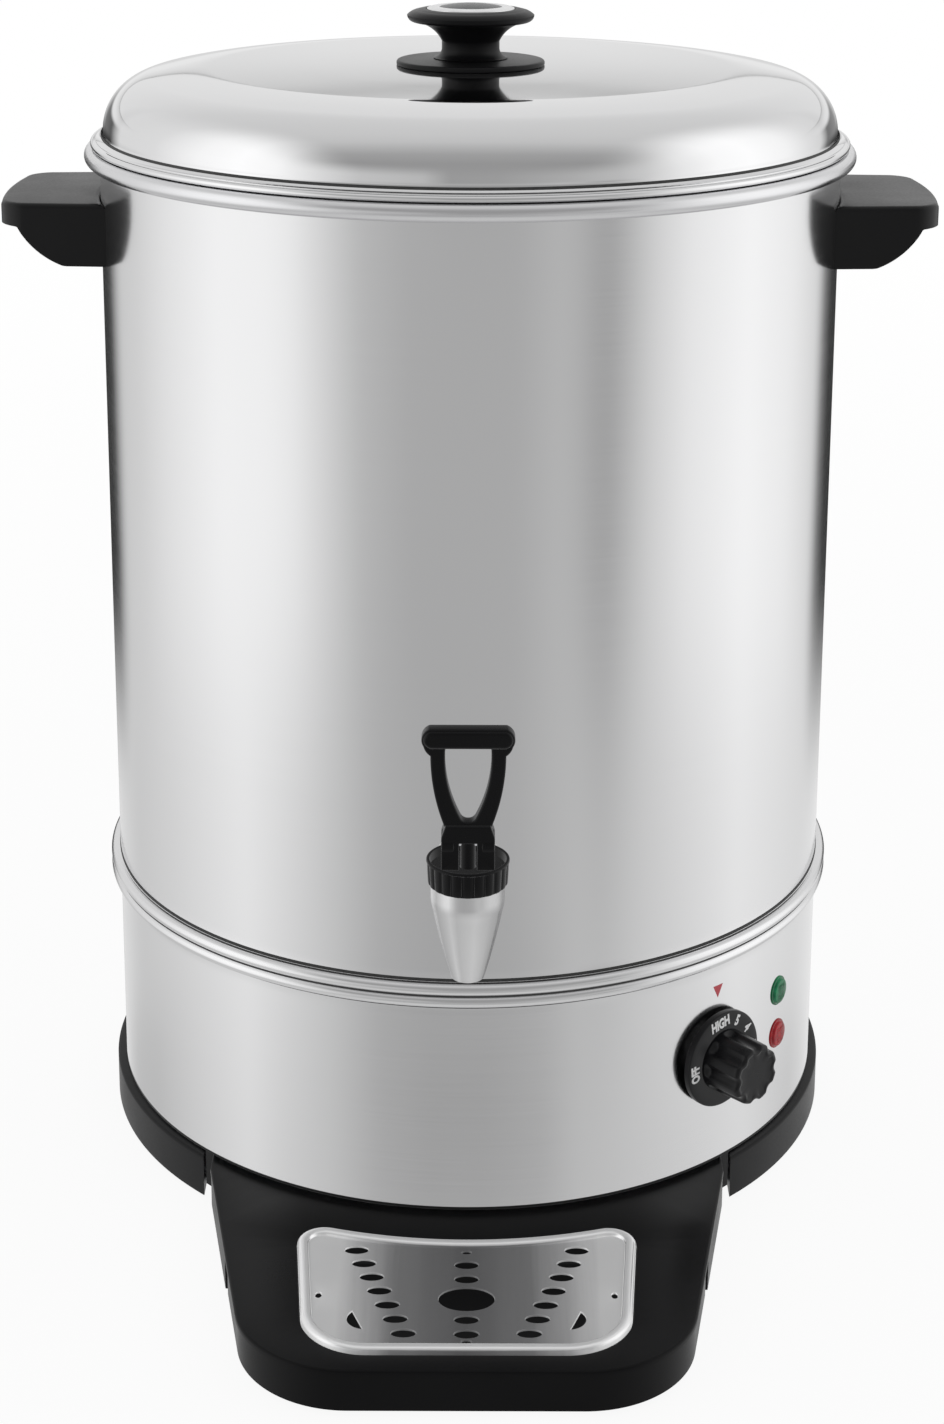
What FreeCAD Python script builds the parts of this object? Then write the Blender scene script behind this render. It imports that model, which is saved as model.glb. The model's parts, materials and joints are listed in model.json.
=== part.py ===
import FreeCAD, Part
import math
import os
import Sketcher
from FreeCAD import Placement, Rotation, Vector

# Hot water urn: a round double-walled tank on a black plastic base, with a lift-off lid, a lever
# tap, a thermostat dial, two lamps, two handles and a drip tray that slides out at the front.
# Millimetres. +Z is up, the front faces -Y, and the origin is on the tank's axis at the surface
# that the urn stands on.

SIZES = {
    # base
    "foot_height": 3.0,
    "foot_radius": 12.0,
    "foot_circle": 150.0,
    "foot_angle": 50.0,
    "base_height": 21.0,
    "base_reach": 4.5,
    "base_wall": 2.5,
    "seat_gap": 1.5,
    "spigot_height": 12.5,
    "floor_plate": 1.2,
    "lip_width": 14.0,
    "lip_thick": 3.0,
    "boss_radius": 5.0,
    "screw_radius": 2.0,
    "fit_gap": 0.2,
    "vent_count": 8.0,
    # steel shells
    "shell_radius": 180.0,
    "shell_wall": 0.8,
    "lower_shell_height": 108.75,
    "upper_shell_height": 365.75,
    "seam_bead_radius": 2.875,
    "seam_bead_reach": 4.6,
    "seam_flange": 8.0,
    "rim_bead_radius": 4.0,
    "rim_bead_reach": 7.3,
    "tank_gap": 4.2,
    "tank_wall": 0.8,
    "tank_floor_lift": 15.75,
    "tank_corner": 12.0,
    # heater and controls
    "heater_radius": 95.0,
    "heater_plate_thick": 4.0,
    "element_radius": 72.0,
    "element_tube": 4.0,
    "stud_circle": 45.0,
    "stud_radius": 2.5,
    "dial_angle": 41.4,
    "dial_height": 80.0,
    "dial_radius": 24.5,
    "dial_skirt_thick": 3.0,
    "dial_standoff": 3.5,
    "grip_radius": 14.5,
    "grip_length": 24.0,
    "flute_radius": 4.2,
    "flute_count": 8.0,
    "shaft_radius": 3.0,
    "thermostat_radius": 19.0,
    "thermostat_length": 24.0,
    "lamp_angle": 56.6,
    "green_height": 95.0,
    "red_height": 72.0,
    "lamp_radius": 6.4,
    "lamp_barrel": 4.8,
    "gland_height": 60.0,
    "gland_radius": 9.0,
    # lid
    "lid_gap": 0.3,
    "lid_wall": 0.8,
    "lid_drop": 2.0,
    "lid_height": 37.0,
    "lid_dome": 0.9,
    "lid_shoulder": 27.0,
    "lid_wall_height": 9.5,
    "lid_bead_radius": 1.5,
    "lid_bead_reach": 4.2,
    "skirt_depth": 12.0,
    "skirt_gap": 0.8,
    # lid knob
    "knob_base_radius": 36.0,
    "knob_base_thick": 3.0,
    "knob_neck": 14.0,
    "knob_radius": 30.8,
    "knob_height": 26.5,
    "knob_ring_radius": 21.3,
    "knob_cap_radius": 15.0,
    "knob_screw_radius": 2.4,
    # handles
    "handle_top": 24.0,
    "handle_drop": 30.0,
    "handle_reach": 51.0,
    "handle_half": 47.0,
    "handle_root_half": 51.0,
    "handle_wall": 3.0,
    "handle_lip": 10.5,
    "handle_corner": 14.0,
    "gusset_length": 13.5,
    "gusset_radius": 40.0,
    "bracket_half": 11.0,
    "bracket_length": 18.0,
    "bracket_thick": 2.0,
    # tap
    "tap_height": 200.0,
    "tap_reach": 62.0,
    "spout_drop": 29.0,
    "spout_rise": 14.0,
    "spout_radius": 16.0,
    "spout_band": 4.0,
    "spout_tip_radius": 7.2,
    "outlet_radius": 5.2,
    "chamber_radius": 11.6,
    "shank_radius": 9.0,
    "shank_bore": 6.0,
    "flange_radius": 15.0,
    "flange_thick": 3.0,
    "gasket_thick": 2.5,
    "nut_thick": 6.0,
    "bonnet_height": 15.0,
    "bonnet_radius": 17.8,
    "bonnet_floor": 11.0,
    "bonnet_web": 3.2,
    "rib_count": 22.0,
    "stem_radius": 3.2,
    "pivot_height": 22.0,
    "pin_radius": 1.5,
    "pin_gap": 0.06,
    "lever_height": 74.0,
    "lever_half": 20.2,
    "lever_block_half": 11.4,
    "lever_block_depth": 5.5,
    "lever_thick": 3.6,
    "spring_radius": 5.2,
    "spring_wire": 0.6,
    # drip tray
    "tray_drop": 1.0,
    "tray_plate": 2.5,
    "tray_front": 304.0,
    "tray_shoulder_half": 123.5,
    "tray_shoulder_depth": 141.6,
    "tray_front_half": 93.6,
    "tray_corner": 52.0,
    "tray_back_gap": 0.8,
    "tray_side_gap": 4.1,
    "tray_body_back": 216.0,
    "guide_end": 212.5,
    "guide_gap": 0.3,
    # grate
    "grate_back": 207.0,
    "grate_front": 292.0,
    "grate_back_half": 77.5,
    "grate_front_half": 70.2,
    "grate_back_corner": 12.0,
    "grate_front_corner": 30.0,
    "grate_rim": 5.0,
    "grate_height": 4.5,
    "grate_sink": 1.5,
    "grate_sheet": 0.8,
    "grate_dish": 2.0,
    "hole_length": 10.5,
    "hole_width": 5.0,
    "hole_pitch": 10.7,
    "hole_shift": 3.8,
    "row_start": 213.8,
    "row_half": 50.0,
    "row_count": 7.0,
    "drain_length": 24.0,
    "drain_width": 15.0,
    "drain_centre": 252.4,
    "well_floor": 2.0,
    "well_clearance": 1.5,
}

doc = FreeCAD.newDocument("hot_water_urn")
sheet = doc.addObject("Spreadsheet::Sheet", "sizes")
for row, (alias, number) in enumerate(SIZES.items(), start=1):
    sheet.set("A%d" % row, alias.replace("_", " "))
    sheet.set("B%d" % row, str(number))
    sheet.setAlias("B%d" % row, alias)
doc.recompute()


class Size:
    """A number together with the expression that ties it to the sheet."""

    def __init__(self, value, text):
        self.value = value
        self.text = text

    def __add__(self, other):
        other = size(other)
        return Size(self.value + other.value, "(%s + %s)" % (self.text, other.text))

    def __radd__(self, other):
        return size(other) + self

    def __sub__(self, other):
        other = size(other)
        return Size(self.value - other.value, "(%s - %s)" % (self.text, other.text))

    def __rsub__(self, other):
        return size(other) - self

    def __mul__(self, other):
        other = size(other)
        return Size(self.value * other.value, "(%s * %s)" % (self.text, other.text))

    __rmul__ = __mul__

    def __truediv__(self, other):
        other = size(other)
        return Size(self.value / other.value, "(%s / %s)" % (self.text, other.text))

    def __neg__(self):
        return Size(-self.value, "(-%s)" % self.text)


def size(number):
    """A Size from a plain number, or the Size itself."""
    if isinstance(number, Size):
        return number
    return Size(float(number), "(%r)" % float(number))


def root(number):
    number = size(number)
    return Size(math.sqrt(max(number.value, 0.0)), "sqrt(%s)" % number.text)


def sine(degrees):
    degrees = size(degrees)
    return Size(math.sin(math.radians(degrees.value)), "sin(%s * 1 deg)" % degrees.text)


def cosine(degrees):
    degrees = size(degrees)
    return Size(math.cos(math.radians(degrees.value)), "cos(%s * 1 deg)" % degrees.text)


def on_circle(radius, across):
    """How far from the axis a circle is, at a distance across from its middle line."""
    return root(radius * radius - across * across)


def dome_radius(across, rise):
    """The radius of a dome that rises over a circle and meets the axis level."""
    across, rise = size(across), size(rise)
    return (across * across + rise * rise) / (rise * 2)


class Sheet:
    """The sheet's sizes by name."""

    def __getattr__(self, alias):
        return Size(SIZES[alias], "sizes.%s" % alias)


s = Sheet()

# Heights and radii that several pieces share.
base_z = s.foot_height
ring_top = base_z + s.base_height
seat_z = ring_top + s.seat_gap
seam_z = seat_z + s.lower_shell_height
rim_z = seam_z + s.upper_shell_height
shell_inside = s.shell_radius - s.shell_wall
tank_outside = shell_inside - s.tank_gap
tank_inside = tank_outside - s.tank_wall
tank_floor = seam_z + s.tank_floor_lift
spigot_outside = shell_inside - s.fit_gap
spigot_inside = spigot_outside - s.base_wall
apron_inside = spigot_inside - s.base_wall
lip_inside = apron_inside - s.lip_width
lip_z = base_z + s.floor_plate
boss_circle = apron_inside - s.boss_radius - s.fit_gap
spigot_top = seat_z + s.spigot_height
tap_axis = s.shell_radius + s.tap_reach
bonnet_z = s.tap_height + s.spout_rise
bonnet_floor_z = bonnet_z + s.bonnet_floor
pivot_z = bonnet_z + s.pivot_height
seat_of_valve = s.tap_height - s.spout_rise
lid_top = rim_z + s.lid_height
knob_z = lid_top + s.knob_base_thick
tray_top = ring_top - s.tray_drop
tray_under = tray_top - s.tray_plate
grate_z = tray_top - s.grate_sink
grate_top = grate_z + s.grate_height
panel_top = grate_top - s.grate_dish
handle_z = rim_z - s.handle_top

# The space left round a piece that sits tight on another.
SEATED = 0.05
# The space round a pin or a screw in the piece that holds it tight.
PRESSED = 0.02
WHOLE_TURN = 360
STEEP = 90
sub_parts = []


def number_or_size(target, name, value):
    """Set a property and bind it to the sheet where the value comes from there."""
    value = size(value)
    setattr(target, name, value.value)
    if "sizes." in value.text:
        target.setExpression(name, value.text)


def finished(item):
    """Count an object as a sub-part that gets its own file."""
    sub_parts.append(item)
    return item


def body(label):
    item = doc.addObject("PartDesign::Body", label)
    item.Label = label
    return finished(item)


def origin_feature(owner, role):
    return [item for item in owner.Origin.OriginFeatures if item.Role == role][0]


def attach(item, owner, plane, x=0, y=0, lift=0, turn=None):
    """Lie an item on one of its body's own planes, moved in it and lifted from it."""
    item.AttachmentSupport = [(origin_feature(owner, plane), "")]
    item.MapMode = "FlatFace"
    x, y, lift = size(x), size(y), size(lift)
    item.AttachmentOffset = Placement(Vector(x.value, y.value, lift.value), turn or Rotation())
    for axis, value in (("x", x), ("y", y), ("z", lift)):
        if "sizes." in value.text:
            item.setExpression("AttachmentOffset.Base.%s" % axis, value.text)


def sketch(owner, name, plane="XZ_Plane", lift=0):
    item = owner.newObject("Sketcher::SketchObject", owner.Label + "_" + name)
    attach(item, owner, plane, lift=lift)
    return item


def hold(drawing, kind, *where_and_value):
    """Add a dimension to a sketch, bound to the sheet where it comes from there."""
    value = size(where_and_value[-1])
    index = drawing.addConstraint(Sketcher.Constraint(kind, *where_and_value[:-1], value.value))
    if "sizes." in value.text:
        drawing.setExpression("Constraints[%d]" % index, value.text)


def arc_centre(start, end, radius, left):
    middle = (start + end) * 0.5
    chord = end - start
    reach = math.sqrt(max(radius * radius - chord.Length * chord.Length / 4, 0.0))
    side = Vector(-chord.y, chord.x, 0).normalize()
    return middle + side * (reach if left else -reach)


def hold_arc(drawing, index, before, step):
    """Set how far an arc bulges: by its radius, or by its centre where it goes half way round."""
    across, along = size(step[0]) - before[0], size(step[1]) - before[1]
    chord = math.hypot(across.value, along.value)
    if abs(chord - 2 * size(step[2]).value) > 1e-6:
        hold(drawing, "Radius", index, step[2])
    elif abs(across.value) > abs(along.value):
        hold(drawing, "DistanceY", -1, 1, index, 3, (size(step[1]) + before[1]) / 2)
    else:
        hold(drawing, "DistanceX", -1, 1, index, 3, (size(step[0]) + before[0]) / 2)


def outline(drawing, steps):
    """A closed outline. Each step is where an edge ends: (x, y) for a straight edge, or
    (x, y, radius, "left" or "right") for an arc that turns that way. The first step's edge
    comes from the last step."""
    spots = [Vector(size(step[0]).value, size(step[1]).value, 0) for step in steps]
    edges = []
    for number, step in enumerate(steps):
        start, end = spots[number - 1], spots[number]
        if len(step) == 2:
            index = drawing.addGeometry(Part.LineSegment(start, end))
            edges.append((index, 1, 2))
            continue
        radius, left = size(step[2]), step[3] == "left"
        centre = arc_centre(start, end, radius.value, left)
        circle = Part.Circle(centre, Vector(0, 0, 1), radius.value)
        first, last = (start, end) if left else (end, start)
        angles = [math.atan2(spot.y - centre.y, spot.x - centre.x) for spot in (first, last)]
        index = drawing.addGeometry(Part.ArcOfCircle(circle, angles[0], angles[1]))
        edges.append((index, 1, 2) if left else (index, 2, 1))
        hold_arc(drawing, index, steps[number - 1], step)
    for number, (index, first, last) in enumerate(edges):
        before = edges[number - 1]
        drawing.addConstraint(Sketcher.Constraint("Coincident", before[0], before[2], index, first))
        hold(drawing, "DistanceX", -1, 1, index, last, steps[number][0])
        hold(drawing, "DistanceY", -1, 1, index, last, steps[number][1])


def circle_in(drawing, x, y, radius):
    x, y, radius = size(x), size(y), size(radius)
    shape = Part.Circle(Vector(x.value, y.value, 0), Vector(0, 0, 1), radius.value)
    index = drawing.addGeometry(shape)
    hold(drawing, "Radius", index, radius)
    hold(drawing, "DistanceX", -1, 1, index, 3, x)
    hold(drawing, "DistanceY", -1, 1, index, 3, y)


def slot_in(drawing, x, y, length, width):
    """A slot with round ends, its length along the sketch's first axis."""
    x, y, length, width = size(x), size(y), size(length), size(width)
    reach = (length - width) / 2
    half = width / 2
    outline(drawing, [
        (x - reach, y - half, half, "left"),
        (x + reach, y - half),
        (x + reach, y + half, half, "left"),
        (x - reach, y + half),
    ])


def turned(owner, name, steps, cut=False):
    """A solid of revolution about the body's upright axis, added or cut away."""
    drawing = sketch(owner, name + "_outline")
    outline(drawing, steps)
    kind = "PartDesign::Groove" if cut else "PartDesign::Revolution"
    item = owner.newObject(kind, owner.Label + "_" + name)
    item.Profile = drawing
    item.ReferenceAxis = (drawing, ["V_Axis"])
    item.Angle = WHOLE_TURN
    return item


def raised(owner, name, drawing, length, cut=False, both_ways=False):
    """A sketch drawn out along its own normal, added or cut away."""
    kind = "PartDesign::Pocket" if cut else "PartDesign::Pad"
    item = owner.newObject(kind, owner.Label + "_" + name)
    item.Profile = drawing
    number_or_size(item, "Length", length)
    item.Reversed = cut
    if both_ways:
        item.SideType = "Symmetric"
    return item


def rod(owner, name, x, y, lift, radius, length, plane="XY_Plane", cut=False):
    """A cylinder that stands on one of the body's planes, added or cut away."""
    kind = "PartDesign::SubtractiveCylinder" if cut else "PartDesign::AdditiveCylinder"
    item = owner.newObject(kind, owner.Label + "_" + name)
    number_or_size(item, "Radius", radius)
    number_or_size(item, "Height", length)
    attach(item, owner, plane, x, y, lift)
    return item


def around(owner, name, feature, count):
    """Copies of a feature about the body's upright axis."""
    doc.recompute()
    item = owner.newObject("PartDesign::PolarPattern", owner.Label + "_" + name)
    item.Originals = [feature]
    item.Axis = (origin_feature(owner, "Z_Axis"), [""])
    item.Angle = WHOLE_TURN
    count = size(count)
    item.Occurrences = int(count.value)
    item.setExpression("Occurrences", count.text)
    owner.Tip = item
    return item


def rounded(owner, name, radius, wanted):
    """A fillet on the edges of the body so far that the test picks."""
    doc.recompute()
    base = owner.Tip
    names = ["Edge%d" % (i + 1) for i, edge in enumerate(base.Shape.Edges) if wanted(edge)]
    if not names:
        raise RuntimeError("no edges for " + owner.Label + " " + name)
    item = owner.newObject("PartDesign::Fillet", owner.Label + "_" + name)
    item.Base = (base, names)
    number_or_size(item, "Radius", radius)
    return item


def upright_at(corners, low, high):
    """A test for upright edges at given corners, between two heights."""
    spots = [(size(x).value, size(y).value) for x, y in corners]
    low, high = size(low).value, size(high).value

    def test(edge):
        box = edge.BoundBox
        if box.XLength > 0.01 or box.YLength > 0.01 or box.ZLength < 0.1:
            return False
        if box.ZMin < low - 0.05 or box.ZMax > high + 0.05:
            return False
        return any(math.hypot(box.XMin - x, box.YMin - y) < 0.2 for x, y in spots)

    return test


def level_at(height, beyond=0):
    """A test for level edges at a height that reach beyond a distance from the tank's axis."""
    height, beyond = size(height).value, size(beyond).value

    def test(edge):
        box = edge.BoundBox
        if abs(box.ZMin - height) > 0.01 or abs(box.ZMax - height) > 0.01:
            return False
        return max(math.hypot(end.X, end.Y) for end in edge.Vertexes) > beyond

    return test


def put(item, x=0, y=0, z=0, turn=None):
    """Place a sub-part, with its place bound to the sheet."""
    x, y, z = size(x), size(y), size(z)
    item.Placement = Placement(Vector(x.value, y.value, z.value), turn or Rotation())
    for axis, value in (("x", x), ("y", y), ("z", z)):
        if "sizes." in value.text:
            item.setExpression("Placement.Base.%s" % axis, value.text)
    return item


def facing(angle):
    """A turn that points a piece's own upright axis out of the wall at an angle from the front."""
    return Rotation(Vector(0, 0, 1), size(angle).value) * Rotation(Vector(1, 0, 0), STEEP)


def on_wall(item, angle, height):
    """Place a piece on the shell's outside, facing out, at an angle from the front."""
    return put(item, s.shell_radius * sine(angle), -(s.shell_radius * cosine(angle)), height, facing(angle))


def wall_hole(owner, name, angle, height, radius, beside=0):
    """A hole through a round wall, at an angle from the front or a distance beside that line."""
    item = owner.newObject("PartDesign::SubtractiveCylinder", owner.Label + "_" + name)
    number_or_size(item, "Radius", radius)
    number_or_size(item, "Height", s.shell_radius + s.seam_bead_reach + 10)
    attach(item, owner, "XY_Plane", beside * cosine(angle), beside * sine(angle), height, facing(angle))
    return item


def outer_shell():
    """Upper steel jacket, rolled out into a bead along its foot."""
    item = body("outer_shell")
    bead = s.shell_radius + s.seam_bead_reach - s.seam_bead_radius
    bead_top = seam_z + s.seam_bead_radius * 2
    top = rim_z - s.tank_wall - s.fit_gap
    turned(item, "wall", [
        (bead, seam_z),
        (bead, bead_top, s.seam_bead_radius, "left"),
        (s.shell_radius, bead_top),
        (s.shell_radius, top),
        (shell_inside, top),
        (shell_inside, seam_z),
    ])
    wall_hole(item, "tap_hole", 0, s.tap_height, s.shank_radius + s.fit_gap)


def inner_tank():
    """Tank that holds the water: its top edge curls out over the jacket as the rim bead."""
    item = body("inner_tank")
    curl = s.shell_radius + s.rim_bead_reach - s.rim_bead_radius
    curl_under = rim_z - s.rim_bead_radius * 2
    lap = s.shell_radius + s.lid_gap
    wall = s.tank_wall
    turned(item, "wall", [
        (0, tank_floor),
        (tank_outside - s.tank_corner, tank_floor),
        (tank_outside, tank_floor + s.tank_corner, s.tank_corner, "left"),
        (tank_outside, rim_z - wall),
        (curl, rim_z - wall),
        (curl, curl_under + wall, s.rim_bead_radius - wall, "right"),
        (lap, curl_under + wall),
        (lap, curl_under),
        (curl, curl_under),
        (curl, rim_z, s.rim_bead_radius, "left"),
        (tank_inside, rim_z),
        (tank_inside, tank_floor + s.tank_corner),
        (tank_outside - s.tank_corner, tank_floor + wall, s.tank_corner - wall, "right"),
        (0, tank_floor + wall),
    ])
    wall_hole(item, "tap_hole", 0, s.tap_height, s.shank_radius + s.fit_gap)


def lower_shell():
    """Steel skirt round the controls, with its own bead below the jacket's."""
    item = body("lower_shell")
    bead = s.shell_radius + s.seam_bead_reach - s.seam_bead_radius
    bead_under = seam_z - s.seam_bead_radius * 2
    flange = shell_inside - s.seam_flange
    turned(item, "wall", [
        (shell_inside, seat_z),
        (s.shell_radius, seat_z),
        (s.shell_radius, bead_under),
        (bead, bead_under),
        (bead, seam_z, s.seam_bead_radius, "left"),
        (flange, seam_z),
        (flange, seam_z - s.shell_wall),
        (shell_inside, seam_z - s.shell_wall),
    ])
    wall_hole(item, "shaft_hole", s.dial_angle, s.dial_height, s.shaft_radius + s.fit_gap * 2)
    for name, side in (("right", 1), ("left", -1)):
        wall_hole(item, "screw_hole_" + name, s.dial_angle, s.dial_height, SMALL_SCREW + s.fit_gap,
                  screw_across * side)
    wall_hole(item, "green_hole", s.lamp_angle, s.green_height, s.lamp_barrel + s.fit_gap)
    wall_hole(item, "red_hole", s.lamp_angle, s.red_height, s.lamp_barrel + s.fit_gap)
    wall_hole(item, "gland_hole", 180, s.gland_height, gland_neck + s.fit_gap)


BOSS_ANGLES = (55, 125, 235, 305)


def inner_flange():
    """Steel ring welded inside the lower shell, above the base moulding's bosses."""
    item = body("inner_flange")
    inner = boss_circle - s.boss_radius
    tab_z = spigot_top + s.fit_gap
    turned(item, "ring", [
        (inner, tab_z),
        (shell_inside, tab_z),
        (shell_inside, tab_z + s.shell_wall * 2),
        (inner, tab_z + s.shell_wall * 2),
    ])
    for number, angle in enumerate(BOSS_ANGLES):
        rod(item, "hole_%d" % number, boss_circle * sine(angle), -(boss_circle * cosine(angle)), tab_z - 1,
            s.screw_radius, s.shell_wall * 2 + 2, cut=True)


def base_ring():
    """Black base moulding: outer apron, spigot inside the shell, lip for the floor plate, screw
    bosses, and two guides that reach forward for the drip tray."""
    item = body("base_ring")
    outer = s.shell_radius + s.base_reach
    edge = s.base_wall / 2
    turned(item, "ring", [
        (apron_inside, base_z),
        (outer, base_z),
        (outer, ring_top - edge),
        (outer - edge, ring_top),
        (s.shell_radius, ring_top),
        (s.shell_radius, seat_z),
        (spigot_outside, seat_z),
        (spigot_outside, spigot_top),
        (spigot_inside, spigot_top),
        (spigot_inside, seat_z),
        (apron_inside, seat_z),
        (apron_inside, lip_z + s.lip_thick),
        (lip_inside, lip_z + s.lip_thick),
        (lip_inside, lip_z),
        (apron_inside, lip_z),
    ])
    hollow_out_apron(item, outer)
    open_front(item, outer)
    for number, angle in enumerate(BOSS_ANGLES):
        across, ahead = boss_circle * sine(angle), -(boss_circle * cosine(angle))
        rod(item, "boss_%d" % number, across, ahead, lip_z, s.boss_radius, spigot_top - lip_z)
        rod(item, "boss_bore_%d" % number, across, ahead, lip_z - 1,
            s.screw_radius + s.fit_gap, spigot_top - lip_z + 2, cut=True)
    tray_guides(item)


def hollow_out_apron(item, outer):
    """Clear the space behind the apron from below, in a left and a right half, up to its top."""
    inner, outer = spigot_inside, outer - s.base_wall
    end, rear = opening_half + s.base_wall, s.base_wall
    drawing = sketch(item, "apron_hollow_outline", "XY_Plane", base_z)
    for side in (1, -1):
        # Each half is drawn in two quarters, because an arc here turns less than half round.
        outline(drawing, mirror_steps(side, [
            (end, -on_circle(outer, end)),
            (outer, 0, outer, "left"),
            (rear, on_circle(outer, rear), outer, "left"),
            (rear, on_circle(inner, rear)),
            (inner, 0, inner, "right"),
            (end, -on_circle(inner, end), inner, "right"),
        ]))
    raised(item, "apron_hollow", drawing, ring_top - s.base_wall - base_z, cut=True)


def open_front(item, outer):
    """Take the apron away at the front, where the drip tray goes in."""
    wide = opening_half
    drawing = sketch(item, "opening_outline", "XY_Plane", base_z - 1)
    start = -on_circle(spigot_inside, wide)
    outline(drawing, [
        (-wide, start, spigot_inside, "right"),
        (-wide, -(outer + 5)),
        (wide, -(outer + 5)),
        (wide, start),
    ])
    raised(item, "opening", drawing, s.base_height + 1, cut=True)


def tray_guides(item):
    """Upright walls either side of the tray that the tray's shoulders slide on."""
    height = tray_under - s.guide_gap - base_z
    drawing = sketch(item, "guide_outline", "XY_Plane", base_z)
    depth = s.guide_end - s.tray_shoulder_depth
    slope = (s.tray_shoulder_half - s.tray_front_half) / (s.tray_front - s.tray_shoulder_depth)
    end_half = s.tray_shoulder_half - slope * depth - s.guide_gap
    root_half = s.tray_shoulder_half - s.guide_gap
    for side in (1, -1):
        outline(drawing, [
            ((root_half - s.base_wall) * side, -on_circle(apron_inside + 1, root_half - s.base_wall)),
            ((root_half - s.base_wall) * side, -s.tray_shoulder_depth),
            ((end_half - s.base_wall) * side, -s.guide_end),
            (end_half * side, -s.guide_end),
            (root_half * side, -s.tray_shoulder_depth),
            (root_half * side, -on_circle(apron_inside + 1, root_half)),
        ])
    raised(item, "guides", drawing, height)


opening_half = s.tray_shoulder_half + s.tray_side_gap
gland_neck = s.gland_radius * 0.7


def floor_plate():
    """Steel plate that closes the base, with holes for the feet and screws and a ring of vents."""
    item = body("floor_plate")
    rod(item, "disc", 0, 0, base_z, apron_inside - s.fit_gap, s.floor_plate)
    for number, angle in enumerate(foot_angles()):
        rod(item, "foot_hole_%d" % number, s.foot_circle * sine(angle), -(s.foot_circle * cosine(angle)),
            base_z - 1, foot_neck + s.fit_gap, s.floor_plate + 2, cut=True)
    for number, angle in enumerate(BOSS_ANGLES):
        rod(item, "screw_hole_%d" % number, boss_circle * sine(angle), -(boss_circle * cosine(angle)),
            base_z - 1, s.screw_radius + s.fit_gap, s.floor_plate + 2, cut=True)
    drawing = sketch(item, "vent_outline", "XY_Plane", base_z - 1)
    slot_in(drawing, 70, 0, 40, 6)
    vent = raised(item, "vent", drawing, s.floor_plate + 2, cut=True)
    around(item, "vents", vent, s.vent_count)


def foot_angles():
    return (s.foot_angle, size(180) - s.foot_angle, s.foot_angle + 180, size(360) - s.foot_angle)


foot_neck = s.foot_radius * 0.4


def rubber_feet():
    """Four rubber feet, each pushed through a hole of the floor plate."""
    item = body("rubber_feet")
    flange = foot_neck * 1.4
    for number, angle in enumerate(foot_angles()):
        x, y = s.foot_circle * sine(angle), -(s.foot_circle * cosine(angle))
        rod(item, "foot_%d" % number, x, y, 0, s.foot_radius, s.foot_height)
        rod(item, "neck_%d" % number, x, y, s.foot_height, foot_neck, s.floor_plate)
        rod(item, "flange_%d" % number, x, y, lip_z, flange, 2)


def base_screws():
    """Four long screws up through plate and bosses into the shell's inner flange."""
    item = body("base_screws")
    for number, angle in enumerate(BOSS_ANGLES):
        x, y = boss_circle * sine(angle), -(boss_circle * cosine(angle))
        rod(item, "head_%d" % number, x, y, base_z - s.screw_radius, s.screw_radius * 1.9, s.screw_radius)
        rod(item, "shank_%d" % number, x, y, base_z, s.screw_radius,
            spigot_top + s.fit_gap + s.shell_wall * 2 + 2 - base_z)


def heater_plate():
    """Aluminium plate under the tank's floor that spreads the heat."""
    item = body("heater_plate")
    rod(item, "disc", 0, 0, tank_floor - s.heater_plate_thick, s.heater_radius, s.heater_plate_thick)
    hole = rod(item, "stud_hole", s.stud_circle, 0, tank_floor - s.heater_plate_thick - 1,
               s.stud_radius + s.fit_gap, s.heater_plate_thick + 2, cut=True)
    around(item, "stud_holes", hole, STUD_COUNT)


def heater_studs():
    """Three studs welded under the tank's floor, which carry the heater."""
    item = body("heater_studs")
    length = s.heater_plate_thick + nut_height + 3
    stud = rod(item, "stud", s.stud_circle, 0, tank_floor - length, s.stud_radius, length)
    around(item, "studs", stud, STUD_COUNT)


def heater_nuts():
    """A nut on each of the heater's studs."""
    item = body("heater_nuts")
    drawing = sketch(item, "nut_outline", "XY_Plane", tank_floor - s.heater_plate_thick - nut_height)
    hexagon(drawing, s.stud_circle, 0, s.stud_radius * 1.85)
    circle_in(drawing, s.stud_circle, 0, s.stud_radius + PRESSED)
    nut = raised(item, "nut", drawing, nut_height)
    around(item, "nuts", nut, STUD_COUNT)


def heating_element():
    """Tubular element bent into an open ring against the plate, with two cold ends."""
    ring = doc.addObject("Part::Torus", "element_ring")
    number_or_size(ring, "Radius1", s.element_radius)
    number_or_size(ring, "Radius2", s.element_tube)
    ring.Angle3 = ELEMENT_ANGLE
    put(ring, 0, 0, element_z, Rotation(Vector(0, 0, 1), STEEP + (WHOLE_TURN - ELEMENT_ANGLE) / 2))
    pieces = [ring]
    for side in (1, -1):
        cold_end = doc.addObject("Part::Cylinder", "element_end_%s" % ("right" if side > 0 else "left"))
        number_or_size(cold_end, "Radius", s.element_tube)
        number_or_size(cold_end, "Height", cold_end_length)
        put(cold_end, cold_end_x * side, cold_end_y, element_z - cold_end_length)
        terminal = doc.addObject("Part::Cylinder", "element_pin_%s" % ("right" if side > 0 else "left"))
        number_or_size(terminal, "Radius", s.element_tube * 0.4)
        number_or_size(terminal, "Height", pin_length)
        put(terminal, cold_end_x * side, cold_end_y, element_z - cold_end_length - pin_length)
        pieces += [cold_end, terminal]
    item = doc.addObject("Part::MultiFuse", "heating_element")
    item.Label = "heating_element"
    item.Shapes = pieces
    finished(item)


STUD_COUNT = 3
ELEMENT_ANGLE = 320
nut_height = s.stud_radius * 1.6
element_z = tank_floor - s.heater_plate_thick - s.element_tube - s.fit_gap / 2
half_open = (WHOLE_TURN - ELEMENT_ANGLE) / 2
cold_end_x = s.element_radius * sine(half_open)
cold_end_y = s.element_radius * cosine(half_open)
cold_end_length = s.element_tube * 4
pin_length = s.element_tube * 2


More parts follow.
